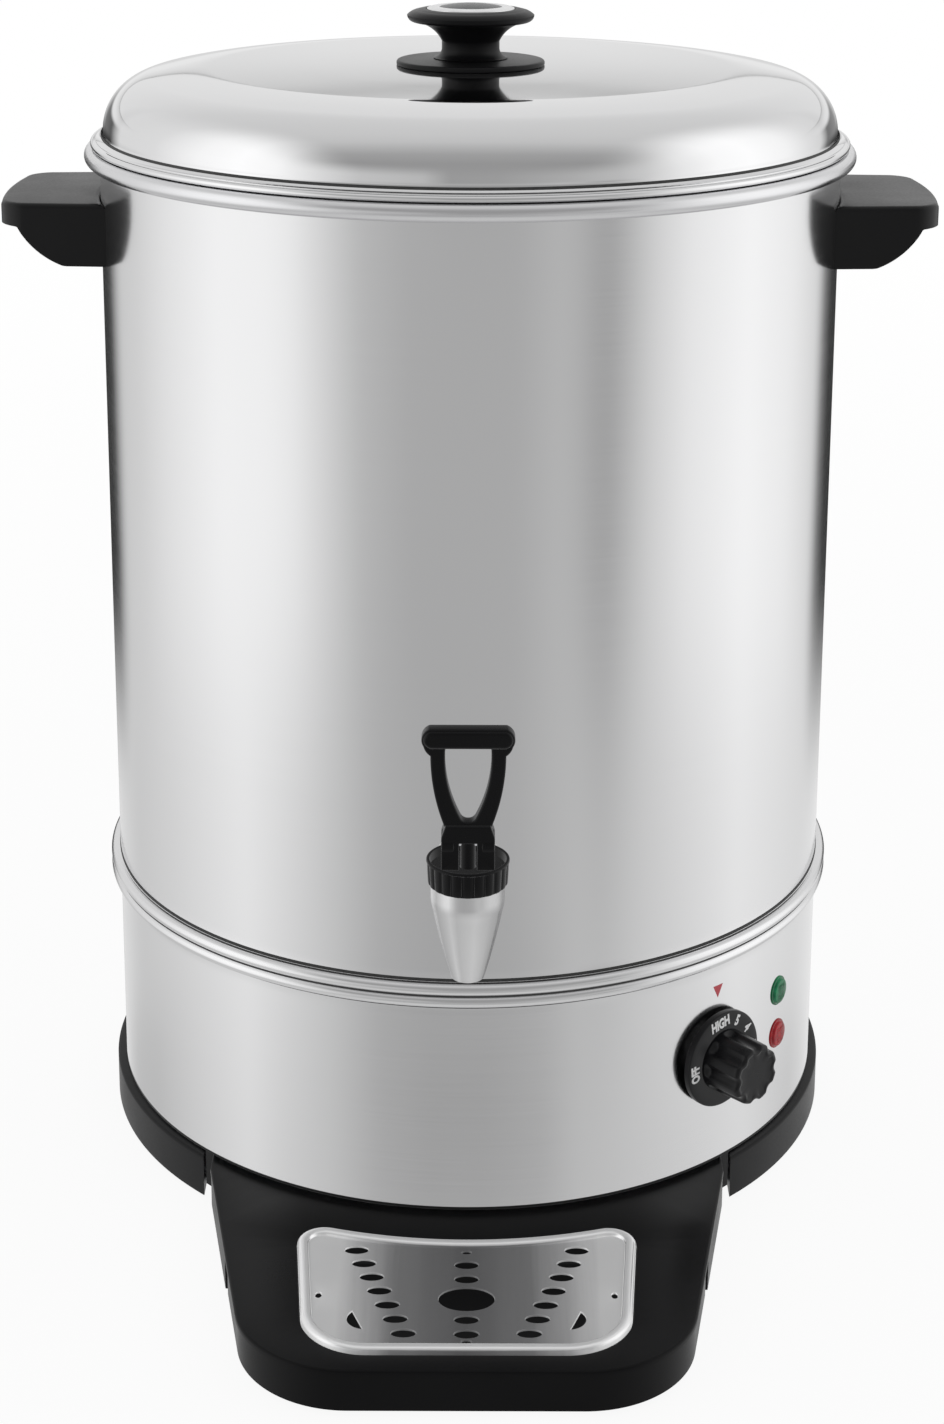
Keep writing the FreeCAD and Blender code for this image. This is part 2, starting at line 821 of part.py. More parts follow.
def hexagon(drawing, x, y, reach):
    """A hexagon round a point, with two of its corners across."""
    x, y, reach = size(x), size(y), size(reach)
    corners = [(x + reach * cosine(angle), y + reach * sine(angle)) for angle in range(0, WHOLE_TURN, 60)]
    outline(drawing, corners)


def thermal_cutout():
    """Boil-dry cut-out pressed up against the heater plate."""
    item = body("thermal_cutout")
    top = tank_floor - s.heater_plate_thick
    rod(item, "cap", 0, 0, top - CUTOUT_CAP, CUTOUT_RADIUS, CUTOUT_CAP)
    rod(item, "case", 0, 0, cutout_foot + CUTOUT_BLADE, CUTOUT_RADIUS * 0.8, CUTOUT_CASE)
    blades = sketch(item, "blade_outline", "XY_Plane", cutout_foot)
    for x in (-BLADE_ACROSS, BLADE_ACROSS):
        near, far = x - BLADE_THICK / 2, x + BLADE_THICK / 2
        outline(blades, [(near, -BLADE_HALF), (far, -BLADE_HALF), (far, BLADE_HALF), (near, BLADE_HALF)])
    raised(item, "blades", blades, CUTOUT_BLADE)


CUTOUT_RADIUS = 9.0
CUTOUT_CAP = 2.5
CUTOUT_CASE = 9.0
CUTOUT_BLADE = 8.0
BLADE_ACROSS = 5.0
BLADE_HALF = 3.0
BLADE_THICK = 0.8
cutout_foot = tank_floor - s.heater_plate_thick - CUTOUT_CAP - CUTOUT_CASE - CUTOUT_BLADE


def thermostat_body():
    """Capillary thermostat behind the lower shell: case, and two ears that its screws go into."""
    item = body("thermostat_body")
    depth = wall_depth + s.thermostat_length
    rod(item, "case", 0, 0, -depth, s.thermostat_radius, s.thermostat_length)
    drawing = sketch(item, "ear_outline", "XY_Plane", -wall_depth - EAR_THICK)
    outline(drawing, [
        (-ear_half, -EAR_HALF_HEIGHT), (ear_half, -EAR_HALF_HEIGHT),
        (ear_half, EAR_HALF_HEIGHT), (-ear_half, EAR_HALF_HEIGHT),
    ])
    raised(item, "ears", drawing, EAR_THICK)
    rod(item, "shaft_bore", 0, 0, -depth / 2, s.shaft_radius + SHAFT_RUNNING_GAP, depth, cut=True)
    for side in (1, -1):
        rod(item, "ear_hole_%s" % ("right" if side > 0 else "left"), screw_across * side, 0, -wall_depth - 8,
            SMALL_SCREW + PRESSED, 12, cut=True)
    on_wall(item, s.dial_angle, s.dial_height)


def thermostat_screws():
    """Two screws through the shell into the thermostat's ears, hidden under the dial."""
    item = body("thermostat_screws")
    for side in (1, -1):
        name = "right" if side > 0 else "left"
        rod(item, "head_" + name, screw_across * side, 0, screw_sag, SMALL_SCREW * 1.8, 1.2)
        rod(item, "shank_" + name, screw_across * side, 0, -wall_depth - EAR_SCREW_REACH, SMALL_SCREW,
            wall_depth + EAR_SCREW_REACH + screw_sag)
    on_wall(item, s.dial_angle, s.dial_height)


EAR_THICK = 2.0
EAR_HALF_HEIGHT = 6.0
# How far the ears' screws reach in behind the wall.
EAR_SCREW_REACH = 7.0
SHAFT_RUNNING_GAP = 0.06
SMALL_SCREW = 1.5
screw_across = s.dial_radius * 0.57
ear_half = screw_across + 5
# The wall curves back behind a flat piece by this much at its edge.
wall_depth = s.shell_radius - on_circle(shell_inside, ear_half) + s.fit_gap
thermostat_back = s.shell_radius - wall_depth - s.thermostat_length
screw_sag = s.fit_gap / 2


def thermostat_bulb():
    """Sensing bulb clipped under the heater plate, with its capillary back to the thermostat."""
    level = (tank_floor - s.heater_plate_thick).value - BULB_RADIUS - SEATED
    out = out_at(s.dial_angle)
    case_back = out * thermostat_back.value + Vector(0, 0, (s.dial_height + s.thermostat_radius * 0.5).value)
    inner = (s.stud_circle + s.stud_radius * 4).value
    start = Vector(-BULB_LENGTH * 0.3, -inner, level)
    end = start + Vector(BULB_LENGTH, 0, 0)
    bulb = Part.makeCylinder(BULB_RADIUS, BULB_LENGTH, start, Vector(1, 0, 0))
    route = [end, end + Vector(6, 0, 0), end + Vector(12, -3, -18), Vector(66, -78, case_back.z + 4),
             case_back - out * 10, case_back]
    line = tube(route, CAPILLARY_RADIUS)
    item = doc.addObject("Part::Feature", "thermostat_bulb")
    item.Label = "thermostat_bulb"
    item.Shape = bulb.fuse(line)
    finished(item)


BULB_RADIUS = 3.0
BULB_LENGTH = 36.0
CAPILLARY_RADIUS = 1.0


def tube(route, radius):
    """A round tube along straight runs joined by tangent arcs, as large as the runs allow."""
    path = []
    start = route[0]
    for before, bend_at, after in zip(route, route[1:], route[2:]):
        into, out_of = (bend_at - before), (after - bend_at)
        half_turn = into.getAngle(out_of) / 2
        trim = 0.45 * min(into.Length, out_of.Length)
        first = bend_at - into.normalize() * trim
        last = bend_at + out_of.normalize() * trim
        bend = trim / math.tan(half_turn)
        inward = (last - bend_at).normalize() + (first - bend_at).normalize()
        centre = bend_at + inward.normalize() * (bend / math.cos(half_turn))
        middle = centre + (bend_at - centre).normalize() * bend
        path.append(Part.LineSegment(start, first).toShape())
        path.append(Part.Arc(first, middle, last).toShape())
        start = last
    path.append(Part.LineSegment(start, route[-1]).toShape())
    wire = Part.Wire(path)
    direction = (route[1] - route[0]).normalize()
    section = Part.Wire(Part.Circle(route[0], direction, radius).toShape())
    return wire.makePipeShell([section], True, False)


def terminal_block():
    """Screw terminal block on the floor plate."""
    item = body("terminal_block")
    foot = base_z + s.floor_plate
    drawing = sketch(item, "block_outline", "XY_Plane", foot)
    half = TERMINAL_PITCH * TERMINAL_WAYS / 2
    rear, front = TERMINAL_Y + TERMINAL_PITCH, TERMINAL_Y - TERMINAL_PITCH
    outline(drawing, [(-half, front), (half, front), (half, rear), (-half, rear)])
    raised(item, "block", drawing, TERMINAL_HEIGHT)
    for number in range(TERMINAL_WAYS):
        rod(item, "way_%d" % number, way_x(number), TERMINAL_Y, terminal_top - TERMINAL_DEPTH,
            LEAD_RADIUS * 2, TERMINAL_DEPTH + 1, cut=True)


def way_x(number):
    return TERMINAL_PITCH * (number - (TERMINAL_WAYS - 1) / 2)


LEAD_RADIUS = 1.3
TERMINAL_HEIGHT = 16.0
TERMINAL_DEPTH = 6.0
TERMINAL_PITCH = 10.0
TERMINAL_WAYS = 5
TERMINAL_Y = 90.0
terminal_top = base_z + s.floor_plate + TERMINAL_HEIGHT


def lamp(label, height):
    """Domed lens of an indicator lamp, with a collar on the shell and a barrel through it."""
    item = body(label)
    radius, barrel = s.lamp_radius, s.lamp_barrel
    turned(item, "lens", [
        (0, -barrel_depth),
        (barrel, -barrel_depth),
        (barrel, LENS_SEAT),
        (radius, LENS_SEAT),
        (radius, LENS_SEAT + 1.6),
        (radius - 1, LENS_SEAT + 2.4, 1, "left"),
        (radius - 1.8, LENS_SEAT + 2.4),
        (0, LENS_SEAT + 5.4, dome_radius(radius - 1.8, 3), "left"),
    ])
    on_wall(item, s.lamp_angle, height)


LENS_SEAT = 0.2
LAMP_CASE = 20.0
# How much wider a lamp holder's ring is than the lens's barrel.
HOLDER_RIM = 3.0
barrel_depth = s.shell_wall + 3
lamp_back = s.shell_radius - barrel_depth - SEATED * 2 - LAMP_CASE


def lamp_holders():
    """Neon holders behind the two lenses: a push-on ring against the wall and a body."""
    for label, height in (("green_lamp_holder", s.green_height), ("red_lamp_holder", s.red_height)):
        item = body(label)
        barrel = s.lamp_barrel
        start = -(s.shell_radius - on_circle(shell_inside, barrel + HOLDER_RIM) + s.fit_gap / 2)
        turned(item, "ring", [
            (barrel + SEATED, start), (barrel + SEATED, start - 2),
            (barrel + HOLDER_RIM, start - 2), (barrel + HOLDER_RIM, start),
        ])
        end = -barrel_depth - SEATED * 2
        turned(item, "case", [
            (0, end), (barrel + SEATED, end), (barrel + SEATED, start - 1), (barrel + 1.2, start - 1),
            (barrel + 1.2, end - LAMP_CASE), (0, end - LAMP_CASE),
        ])
        on_wall(item, s.lamp_angle, height)


def cable_gland():
    """Gland at the back for the supply lead, with its nut inside the shell."""
    item = body("cable_gland")
    outer, neck = s.gland_radius, gland_neck
    turned(item, "gland", [
        (GLAND_BORE, -14), (neck, -14), (neck, 0.2), (outer, 0.2), (outer, 5), (outer - 1.5, 6),
        (outer - 1.5, 14), (outer - 3, 17), (GLAND_BORE, 17),
    ])
    on_wall(item, 180, s.gland_height)


def gland_nut():
    item = body("gland_nut")
    start = -(s.shell_radius - on_circle(shell_inside, gland_neck * 1.7)) - 0.1
    drawing = sketch(item, "nut_outline", "XY_Plane", start - 5)
    hexagon(drawing, 0, 0, gland_neck * 1.7)
    circle_in(drawing, 0, 0, gland_neck + PRESSED)
    raised(item, "nut", drawing, 5)
    on_wall(item, 180, s.gland_height)


GLAND_BORE = 4.0


def control_knob():
    """Thermostat knob: a dial skirt with a fluted grip."""
    item = body("control_knob")
    radius, grip = s.dial_radius, s.grip_radius
    foot, skirt = s.dial_standoff, s.dial_standoff + s.dial_skirt_thick
    top = skirt + s.grip_length
    turned(item, "form", [
        (0, top - s.grip_length / 2),
        (s.shaft_radius + PRESSED, top - s.grip_length / 2),
        (s.shaft_radius + PRESSED, skirt - 1),
        (radius - 2, skirt - 1),
        (radius - 2, foot),
        (radius, foot),
        (radius, skirt - 1),
        (radius - 1, skirt, 1, "left"),
        (grip + 0.6, skirt),
        (grip, top - 1.5),
        (grip - 1.5, top, 1.5, "left"),
        (0, top),
    ])
    flute = rod(item, "flute", grip + s.flute_radius * 0.62, 0, skirt + 1.5, s.flute_radius,
                s.grip_length + 5, cut=True)
    around(item, "flutes", flute, s.flute_count)
    on_wall(item, s.dial_angle, s.dial_height)


def dial_shaft():
    """Spindle that turns in the thermostat and carries the knob."""
    item = body("dial_shaft")
    top = s.dial_standoff + s.dial_skirt_thick + s.grip_length / 2 - 0.5
    start = -(wall_depth + s.thermostat_length * 0.5 - 2)
    rod(item, "spindle", 0, 0, start, s.shaft_radius, top - start)
    on_wall(item, s.dial_angle, s.dial_height)


def lid_shell():
    """Domed steel lid with a rolled bead at its edge."""
    item = body("lid_shell")
    wall, base = s.lid_wall, rim_z + s.lid_gap
    outside = s.shell_radius - s.lid_drop
    inside = outside - wall
    shoulder_z = rim_z + s.lid_wall_height
    shoulder_top = lid_top - s.lid_dome
    bead = s.shell_radius + s.lid_bead_reach - s.lid_bead_radius
    bead_top = base + s.lid_bead_radius * 2
    # The shoulder is an arc that meets the wall upright and the dome at a slight slope.
    rise = shoulder_top - shoulder_z
    meet = outside - s.lid_shoulder + root(s.lid_shoulder * s.lid_shoulder - rise * rise)
    inner_meet = meet - wall * 0.2
    dome = dome_radius(meet, s.lid_dome)
    turned(item, "wall", [
        (s.knob_screw_radius + s.fit_gap, lid_top - wall),
        (inner_meet, shoulder_top - wall, dome, "right"),
        (inside, shoulder_z, s.lid_shoulder - wall, "right"),
        (inside, base),
        (bead, base),
        (bead, bead_top, s.lid_bead_radius, "left"),
        (outside + 3.5, bead_top),
        (outside + 3.5, bead_top + 0.9),
        (outside, bead_top + 4, 5, "right"),
        (outside, shoulder_z),
        (meet, shoulder_top, s.lid_shoulder, "left"),
        (s.knob_screw_radius + s.fit_gap, lid_top, dome, "left"),
    ])


def lid_skirt():
    """Ring welded inside the lid that drops into the tank's mouth."""
    item = body("lid_skirt")
    outside = tank_inside - s.skirt_gap
    wall = s.lid_wall
    lid_inside = s.shell_radius - s.lid_drop - wall - s.fit_gap / 2
    shelf = rim_z + s.lid_gap + s.lid_bead_radius
    turned(item, "ring", [
        (outside - wall, rim_z - s.skirt_depth),
        (outside, rim_z - s.skirt_depth),
        (outside, shelf),
        (lid_inside, shelf),
        (lid_inside, shelf + wall),
        (outside - wall, shelf + wall),
    ])


def knob_base():
    """Black disc between the lid and its knob."""
    item = body("knob_base")
    top = lid_top + s.knob_base_thick
    turned(item, "disc", [
        (s.knob_screw_radius + s.fit_gap, lid_top),
        (s.knob_base_radius, lid_top),
        (s.knob_base_radius, top - 1.2),
        (s.knob_base_radius - 1.2, top, 1.2, "left"),
        (s.knob_screw_radius + s.fit_gap, top),
    ])


def lid_knob():
    """Black knob with a waisted neck, a wide head and a recess for its ring and cap."""
    item = body("lid_knob")
    neck, head = s.knob_neck, s.knob_radius
    top = knob_z + s.knob_height
    brim = top - 7.5
    turned(item, "form", [
        (0, knob_z + s.knob_height - 8),
        (s.knob_screw_radius + PRESSED, knob_z + s.knob_height - 8),
        (s.knob_screw_radius + PRESSED, knob_z),
        (neck + 4, knob_z),
        (neck, knob_z + 4, 5, "right"),
        (neck, knob_z + 8),
        (head - 3, brim - 1, 17, "right"),
        (head, brim + 2, 3.2, "left"),
        (head - 5, brim + 4.5, 8, "left"),
        (s.knob_ring_radius + 0.5, ring_seat + 2.2),
        (s.knob_ring_radius + 0.1, ring_seat + 2.2),
        (s.knob_ring_radius + 0.1, ring_seat),
        (0, ring_seat),
    ])


ring_seat = knob_z + s.knob_height - 5


def knob_ring():
    """Bright ring let into the knob's top."""
    item = body("knob_ring")
    inner, outer = s.knob_cap_radius + 0.1, s.knob_ring_radius
    turned(item, "ring", [
        (inner, ring_seat), (outer, ring_seat), (outer, ring_seat + 2.4),
        (inner + 1, ring_seat + 3.6, 9, "left"), (inner, ring_seat + 3.2),
    ])


def knob_cap():
    """Dark cap in the middle of the knob's top."""
    item = body("knob_cap")
    turned(item, "cap", [
        (0, ring_seat), (s.knob_cap_radius, ring_seat), (s.knob_cap_radius, ring_seat + 3.4),
        (0, ring_seat + 5, dome_radius(s.knob_cap_radius, 1.6), "left"),
    ])


def knob_screw():
    """Screw up through lid and base disc into the knob."""
    item = body("knob_screw")
    under = washer_top - WASHER
    radius = s.knob_screw_radius
    turned(item, "screw", [
        (0, under - 2.6), (radius * 1.4, under - 2.6), (radius * 1.8, under - 1.6, 1.5, "left"),
        (radius * 1.8, under), (radius, under), (radius, knob_z + s.knob_height - 9),
        (0, knob_z + s.knob_height - 9),
    ])


def knob_washer():
    item = body("knob_washer")
    top = washer_top
    inner, outer = s.knob_screw_radius + s.fit_gap / 2, s.knob_screw_radius * 4
    turned(item, "washer", [(inner, top - WASHER), (outer, top - WASHER), (outer, top), (inner, top)])


WASHER = 1.2
# The washer lies a little below the dome, which falls away from its middle.
washer_top = lid_top - s.lid_wall - s.fit_gap / 2


def handle(label, side):
    """Black handle, open below: a top plate with deep gussets at the shell and a lip outside."""
    item = body(label)
    outer = s.shell_radius + s.handle_reach
    low, high = handle_z - s.handle_drop, handle_z
    root_x = s.shell_radius * 0.88
    drawing = sketch(item, "plan", "XY_Plane", low)
    end_x = on_circle(outer, s.handle_half)
    outline(drawing, mirror_steps(side, [
        (root_x, -s.handle_root_half),
        (end_x, -s.handle_half),
        (end_x, s.handle_half, outer, "left"),
        (root_x, s.handle_root_half),
    ]))
    raised(item, "form", drawing, s.handle_drop)
    wall = s.handle_wall
    drawing = sketch(item, "gusset_outline", "XZ_Plane")
    foot_x = s.shell_radius + s.gusset_length
    lip_x = foot_x + GUSSET_SWEEP
    lip_z = high - s.handle_lip
    outline(drawing, mirror_steps(side, [
        (foot_x, low - 2),
        (outer + LIP_CUT, low - 2),
        (outer + LIP_CUT, lip_z + LIP_CUT / 2),
        (outer - LIP_CUT, lip_z),
        (lip_x, lip_z - LIP_SAG),
        (foot_x, low, s.gusset_radius, "right"),
    ]))
    raised(item, "gusset", drawing, s.handle_root_half * 2 + 10, cut=True, both_ways=True)
    corners = [(end_x * side, s.handle_half), (end_x * side, -s.handle_half)]
    rounded(item, "corners", s.handle_corner, upright_at(corners, low, high))
    drawing = sketch(item, "hollow_outline", "XY_Plane", low - 1)
    inner = outer - wall
    inner_half = s.handle_half - wall
    inner_x = on_circle(inner, inner_half)
    inner_root = s.handle_root_half - wall
    outline(drawing, mirror_steps(side, [
        (root_x - 1, -inner_root),
        (inner_x, -inner_half),
        (inner_x, inner_half, inner, "left"),
        (root_x - 1, inner_root),
    ]))
    raised(item, "hollow", drawing, s.handle_drop - wall + 1, cut=True)
    inner_corners = [(inner_x * side, inner_half), (inner_x * side, -inner_half)]
    rounded(item, "inner_corners", s.handle_corner - wall, upright_at(inner_corners, low, high))
    for number, across in enumerate((-1, 1)):
        rod(item, "boss_%d" % number, handle_screw_x * side, screw_half * across, boss_z,
            s.boss_radius, high - wall - boss_z)
        rod(item, "boss_bore_%d" % number, handle_screw_x * side, screw_half * across, boss_z - 1,
            SMALL_SCREW + PRESSED, high - wall - boss_z + 1, cut=True)
    rod(item, "shell_side", 0, 0, low - 5, s.shell_radius + s.lid_gap, s.handle_drop + 10, cut=True)
    rounded(item, "top_edge", wall * 0.9, level_at(high, s.shell_radius + 4))


# The handle's lower edge: how far out the gusset's curve sweeps, how far either side of the lip
# the edge turns up, and how much it sags before that.
GUSSET_SWEEP = 22.0
LIP_CUT = 5.0
LIP_SAG = 0.8


def mirror_steps(side, steps):
    """Steps of an outline, mirrored across the middle plane for the left side."""
    if side > 0:
        return steps
    swap = {"left": "right", "right": "left"}
    return [(-size(step[0]), *step[1:3], *[swap[turn] for turn in step[3:]]) for step in steps]


bracket_z = handle_z - s.handle_drop + 15
boss_z = bracket_z + s.bracket_thick
handle_screw_x = s.shell_radius + s.bracket_length - 6
screw_half = s.bracket_half - 5


def handle_bracket(label, side):
    """Steel angle welded to the shell, which the handle is screwed down on."""
    item = body(label)
    drawing = sketch(item, "profile", "XZ_Plane")
    flange = s.shell_radius + s.bracket_thick + 0.5
    outline(drawing, mirror_steps(side, [
        (s.shell_radius - 3, bracket_z - 11),
        (flange, bracket_z - 11),
        (flange, bracket_z),
        (s.shell_radius + s.bracket_length, bracket_z),
        (s.shell_radius + s.bracket_length, boss_z),
        (s.shell_radius - 3, boss_z),
    ]))
    raised(item, "angle", drawing, s.bracket_half * 2, both_ways=True)
    rod(item, "shell_side", 0, 0, bracket_z - 15, s.shell_radius + SEATED, 25, cut=True)
    for number, across in enumerate((-1, 1)):
        rod(item, "hole_%d" % number, handle_screw_x * side, screw_half * across, bracket_z - 1,
            SMALL_SCREW + s.fit_gap, s.bracket_thick + 2, cut=True)


def handle_screws():
    """Two screws up through each bracket into its handle."""
    item = body("handle_screws")
    for name, side in (("right", 1), ("left", -1)):
        for number, across in enumerate((-1, 1)):
            x, y = handle_screw_x * side, screw_half * across
            rod(item, "head_%s_%d" % (name, number), x, y, bracket_z - 2, SMALL_SCREW * 2, 2)
            rod(item, "shank_%s_%d" % (name, number), x, y, bracket_z, SMALL_SCREW, s.bracket_thick + 8)


def tap_body():
    """Bright tap: a tapered spout under a neck, and a shank back through both walls."""
    item = body("tap_body")
    tip_z = s.tap_height - s.spout_drop
    turned(item, "spout", [
        (0, tip_z),
        (s.spout_tip_radius, tip_z),
        (s.spout_radius, bonnet_z - s.spout_band),
        (s.spout_radius, bonnet_z),
        (neck_radius, bonnet_z),
        (neck_radius, neck_top),
        (0, neck_top),
    ])
    reach = s.tap_reach + s.shell_radius - tank_inside + s.gasket_thick + s.nut_thick + 3
    # The shank ends inside the valve chamber, short of the tap's own axis.
    end = s.chamber_radius / 3
    rod(item, "shank", 0, s.tap_height, -reach, s.shank_radius, reach - end, "XZ_Plane")
    flange_back = s.tap_reach - s.gasket_thick
    rod(item, "flange", 0, s.tap_height, -flange_back, s.flange_radius, s.flange_thick, "XZ_Plane")
    rod(item, "bore", 0, s.tap_height, -reach - 1, s.shank_bore, reach + 1 - end, "XZ_Plane", cut=True)
    turned(item, "passage", [
        (0, tip_z - 2),
        (s.outlet_radius, tip_z - 2),
        (s.outlet_radius, seat_of_valve),
        (cup_radius + 0.6, seat_of_valve),
        (s.chamber_radius, s.tap_height),
        (s.chamber_radius, neck_top + 2),
        (0, neck_top + 2),
    ], cut=True)
    put(item, 0, -tap_axis, 0)


neck_radius = s.spout_radius - 1.7
neck_top = bonnet_floor_z - s.bonnet_web - 0.3
cup_radius = s.outlet_radius + 2.8


def tap_outer_gasket():
    """Silicone washer between the tap's flange and the jacket, bedded to its curve."""
    item = body("tap_outer_gasket")
    near, length = s.tap_reach + BEDDING, s.gasket_thick + BEDDING
    rod(item, "ring", 0, s.tap_height, -near, s.flange_radius, length, "XZ_Plane")
    rod(item, "hole", 0, s.tap_height, -near - 1, s.shank_radius + SEATED, length + 2, "XZ_Plane", cut=True)
    rod(item, "wall_side", 0, tap_axis, s.tap_height - s.flange_radius * 2, s.shell_radius + SEATED,
        s.flange_radius * 4, cut=True)
    put(item, 0, -tap_axis, 0)


# How much thicker a washer starts out before a curved wall trims it.
BEDDING = 2.0

def tap_inner_gasket():
    """Silicone washer inside the tank, its outer face bedded to the wall's curve."""
    ring = doc.addObject("Part::Cylinder", "inner_gasket_ring")
    hole = doc.addObject("Part::Cylinder", "inner_gasket_hole")
    inside = doc.addObject("Part::Cylinder", "inner_gasket_inside")
    near = nut_face
    number_or_size(ring, "Radius", s.flange_radius)
    number_or_size(ring, "Height", s.gasket_thick + BEDDING)
    put(ring, 0, -near, s.tap_height, Rotation(Vector(1, 0, 0), STEEP))
    number_or_size(hole, "Radius", s.shank_radius + SEATED)
    number_or_size(hole, "Height", s.gasket_thick + BEDDING + 2)
    put(hole, 0, -near + 1, s.tap_height, Rotation(Vector(1, 0, 0), STEEP))
    number_or_size(inside, "Radius", tank_inside - SEATED)
    number_or_size(inside, "Height", s.flange_radius * 4)
    put(inside, 0, 0, s.tap_height - s.flange_radius * 2)
    bedded = doc.addObject("Part::Common", "inner_gasket_bedded")
    bedded.Base, bedded.Tool = ring, inside
    item = doc.addObject("Part::Cut", "tap_inner_gasket")
    item.Label = "tap_inner_gasket"
    item.Base, item.Tool = bedded, hole
    finished(item)


nut_face = on_circle(tank_inside, s.flange_radius) - s.gasket_thick


def tap_nut():
    """Nut that clamps the shank inside the tank."""
    item = body("tap_nut")
    drawing = sketch(item, "nut_outline", "XZ_Plane", nut_face - s.nut_thick)
    hexagon(drawing, 0, s.tap_height, s.shank_radius * 1.6)
    circle_in(drawing, 0, s.tap_height, s.shank_radius + PRESSED)
    raised(item, "nut", drawing, s.nut_thick)


def tap_bonnet():
    """Ribbed black ring nut on the tap's neck, which stands up round the lever's foot."""
    item = body("tap_bonnet")
    radius = s.bonnet_radius
    top = bonnet_z + s.bonnet_height
    turned(item, "ring", [
        (neck_radius + SEATED, bonnet_z),
        (radius - BONNET_DRAFT, bonnet_z),
        (radius, top - BONNET_EDGE),
        (radius - BONNET_EDGE, top, BONNET_EDGE, "left"),
        (radius - BONNET_EDGE - BONNET_BRIM, top),
        (radius - BONNET_EDGE - BONNET_BRIM - s.fit_gap, bonnet_floor_z),
        (neck_radius + SEATED, bonnet_floor_z),
    ])
    groove = rod(item, "groove", radius + GROOVE_OUT, 0, bonnet_z - 1, GROOVE_RADIUS,
                 s.bonnet_height - GROOVE_STOP, cut=True)
    around(item, "grooves", groove, s.rib_count)
    put(item, 0, -tap_axis, 0)


BONNET_DRAFT = 0.9
BONNET_EDGE = 0.6
BONNET_BRIM = 0.8
# The grooves between the cap's ribs: their centres' place, their radius, and how short they stop.
GROOVE_OUT = 0.35
GROOVE_RADIUS = 0.95
GROOVE_STOP = 1.5


def tap_cover():
    """Black disc pressed into the ring nut, which closes the tap's neck and guides the stem."""
    item = body("tap_cover")
    web = bonnet_floor_z - s.bonnet_web
    inner, outer = s.stem_radius + s.lid_gap, neck_radius + SEATED - PRESSED
    turned(item, "disc", [
        (inner, web), (outer, web), (outer, bonnet_floor_z), (inner, bonnet_floor_z),
    ])
    put(item, 0, -tap_axis, 0)


def tap_stem():
    """Valve stem: a collar for the spring, a spigot for the cup, and an eye for the lever's pin."""
    item = body("tap_stem")
    radius = s.stem_radius
    turned(item, "rod", [
        (0, seat_of_valve + 1), (SPIGOT_RADIUS, seat_of_valve + 1), (SPIGOT_RADIUS, collar_z),
        (COLLAR_RADIUS, collar_z), (COLLAR_RADIUS, collar_z + COLLAR_THICK),
        (radius, collar_z + COLLAR_THICK),
        (radius, pivot_z + EYE_TOP), (0, pivot_z + EYE_TOP),
    ])
    rod(item, "eye", 0, pivot_z, -radius - 1, s.pin_radius + s.pin_gap, radius * 2 + 2, "YZ_Plane", cut=True)
    put(item, 0, -tap_axis, 0)


collar_z = seat_of_valve + 4
SPIGOT_RADIUS = 2.0
COLLAR_RADIUS = 6.4
COLLAR_THICK = 1.5
EYE_TOP = 4.3


def tap_seat_cup():
    """Silicone cup on the stem's foot that closes the outlet."""
    item = body("tap_seat_cup")
    low = seat_of_valve + 0.1
    turned(item, "cup", [
        (0, low), (cup_radius, low), (cup_radius, low + 2.4), (6, collar_z),
        (SPIGOT_RADIUS + SEATED, collar_z),
        (SPIGOT_RADIUS + SEATED, seat_of_valve + 0.95), (0, seat_of_valve + 0.95),
    ])
    put(item, 0, -tap_axis, 0)


def tap_spring():
    """Coil spring round the stem that pushes the cup down on its seat."""
    item = body("tap_spring")
    drawing = sketch(item, "wire_outline")
    low = collar_z + COLLAR_THICK + s.spring_wire
    high = bonnet_floor_z - s.bonnet_web - s.spring_wire
    circle_in(drawing, s.spring_radius, low + 0.05, s.spring_wire)
    coil = item.newObject("PartDesign::AdditiveHelix", "tap_spring_coil")
    coil.Profile = drawing
    coil.ReferenceAxis = (drawing, ["V_Axis"])
    coil.Mode = "height-turns-growth"
    number_or_size(coil, "Height", high - low - 0.1)
    coil.Turns = SPRING_TURNS
    coil.Growth = 0
    put(item, 0, -tap_axis, 0)


SPRING_TURNS = 7


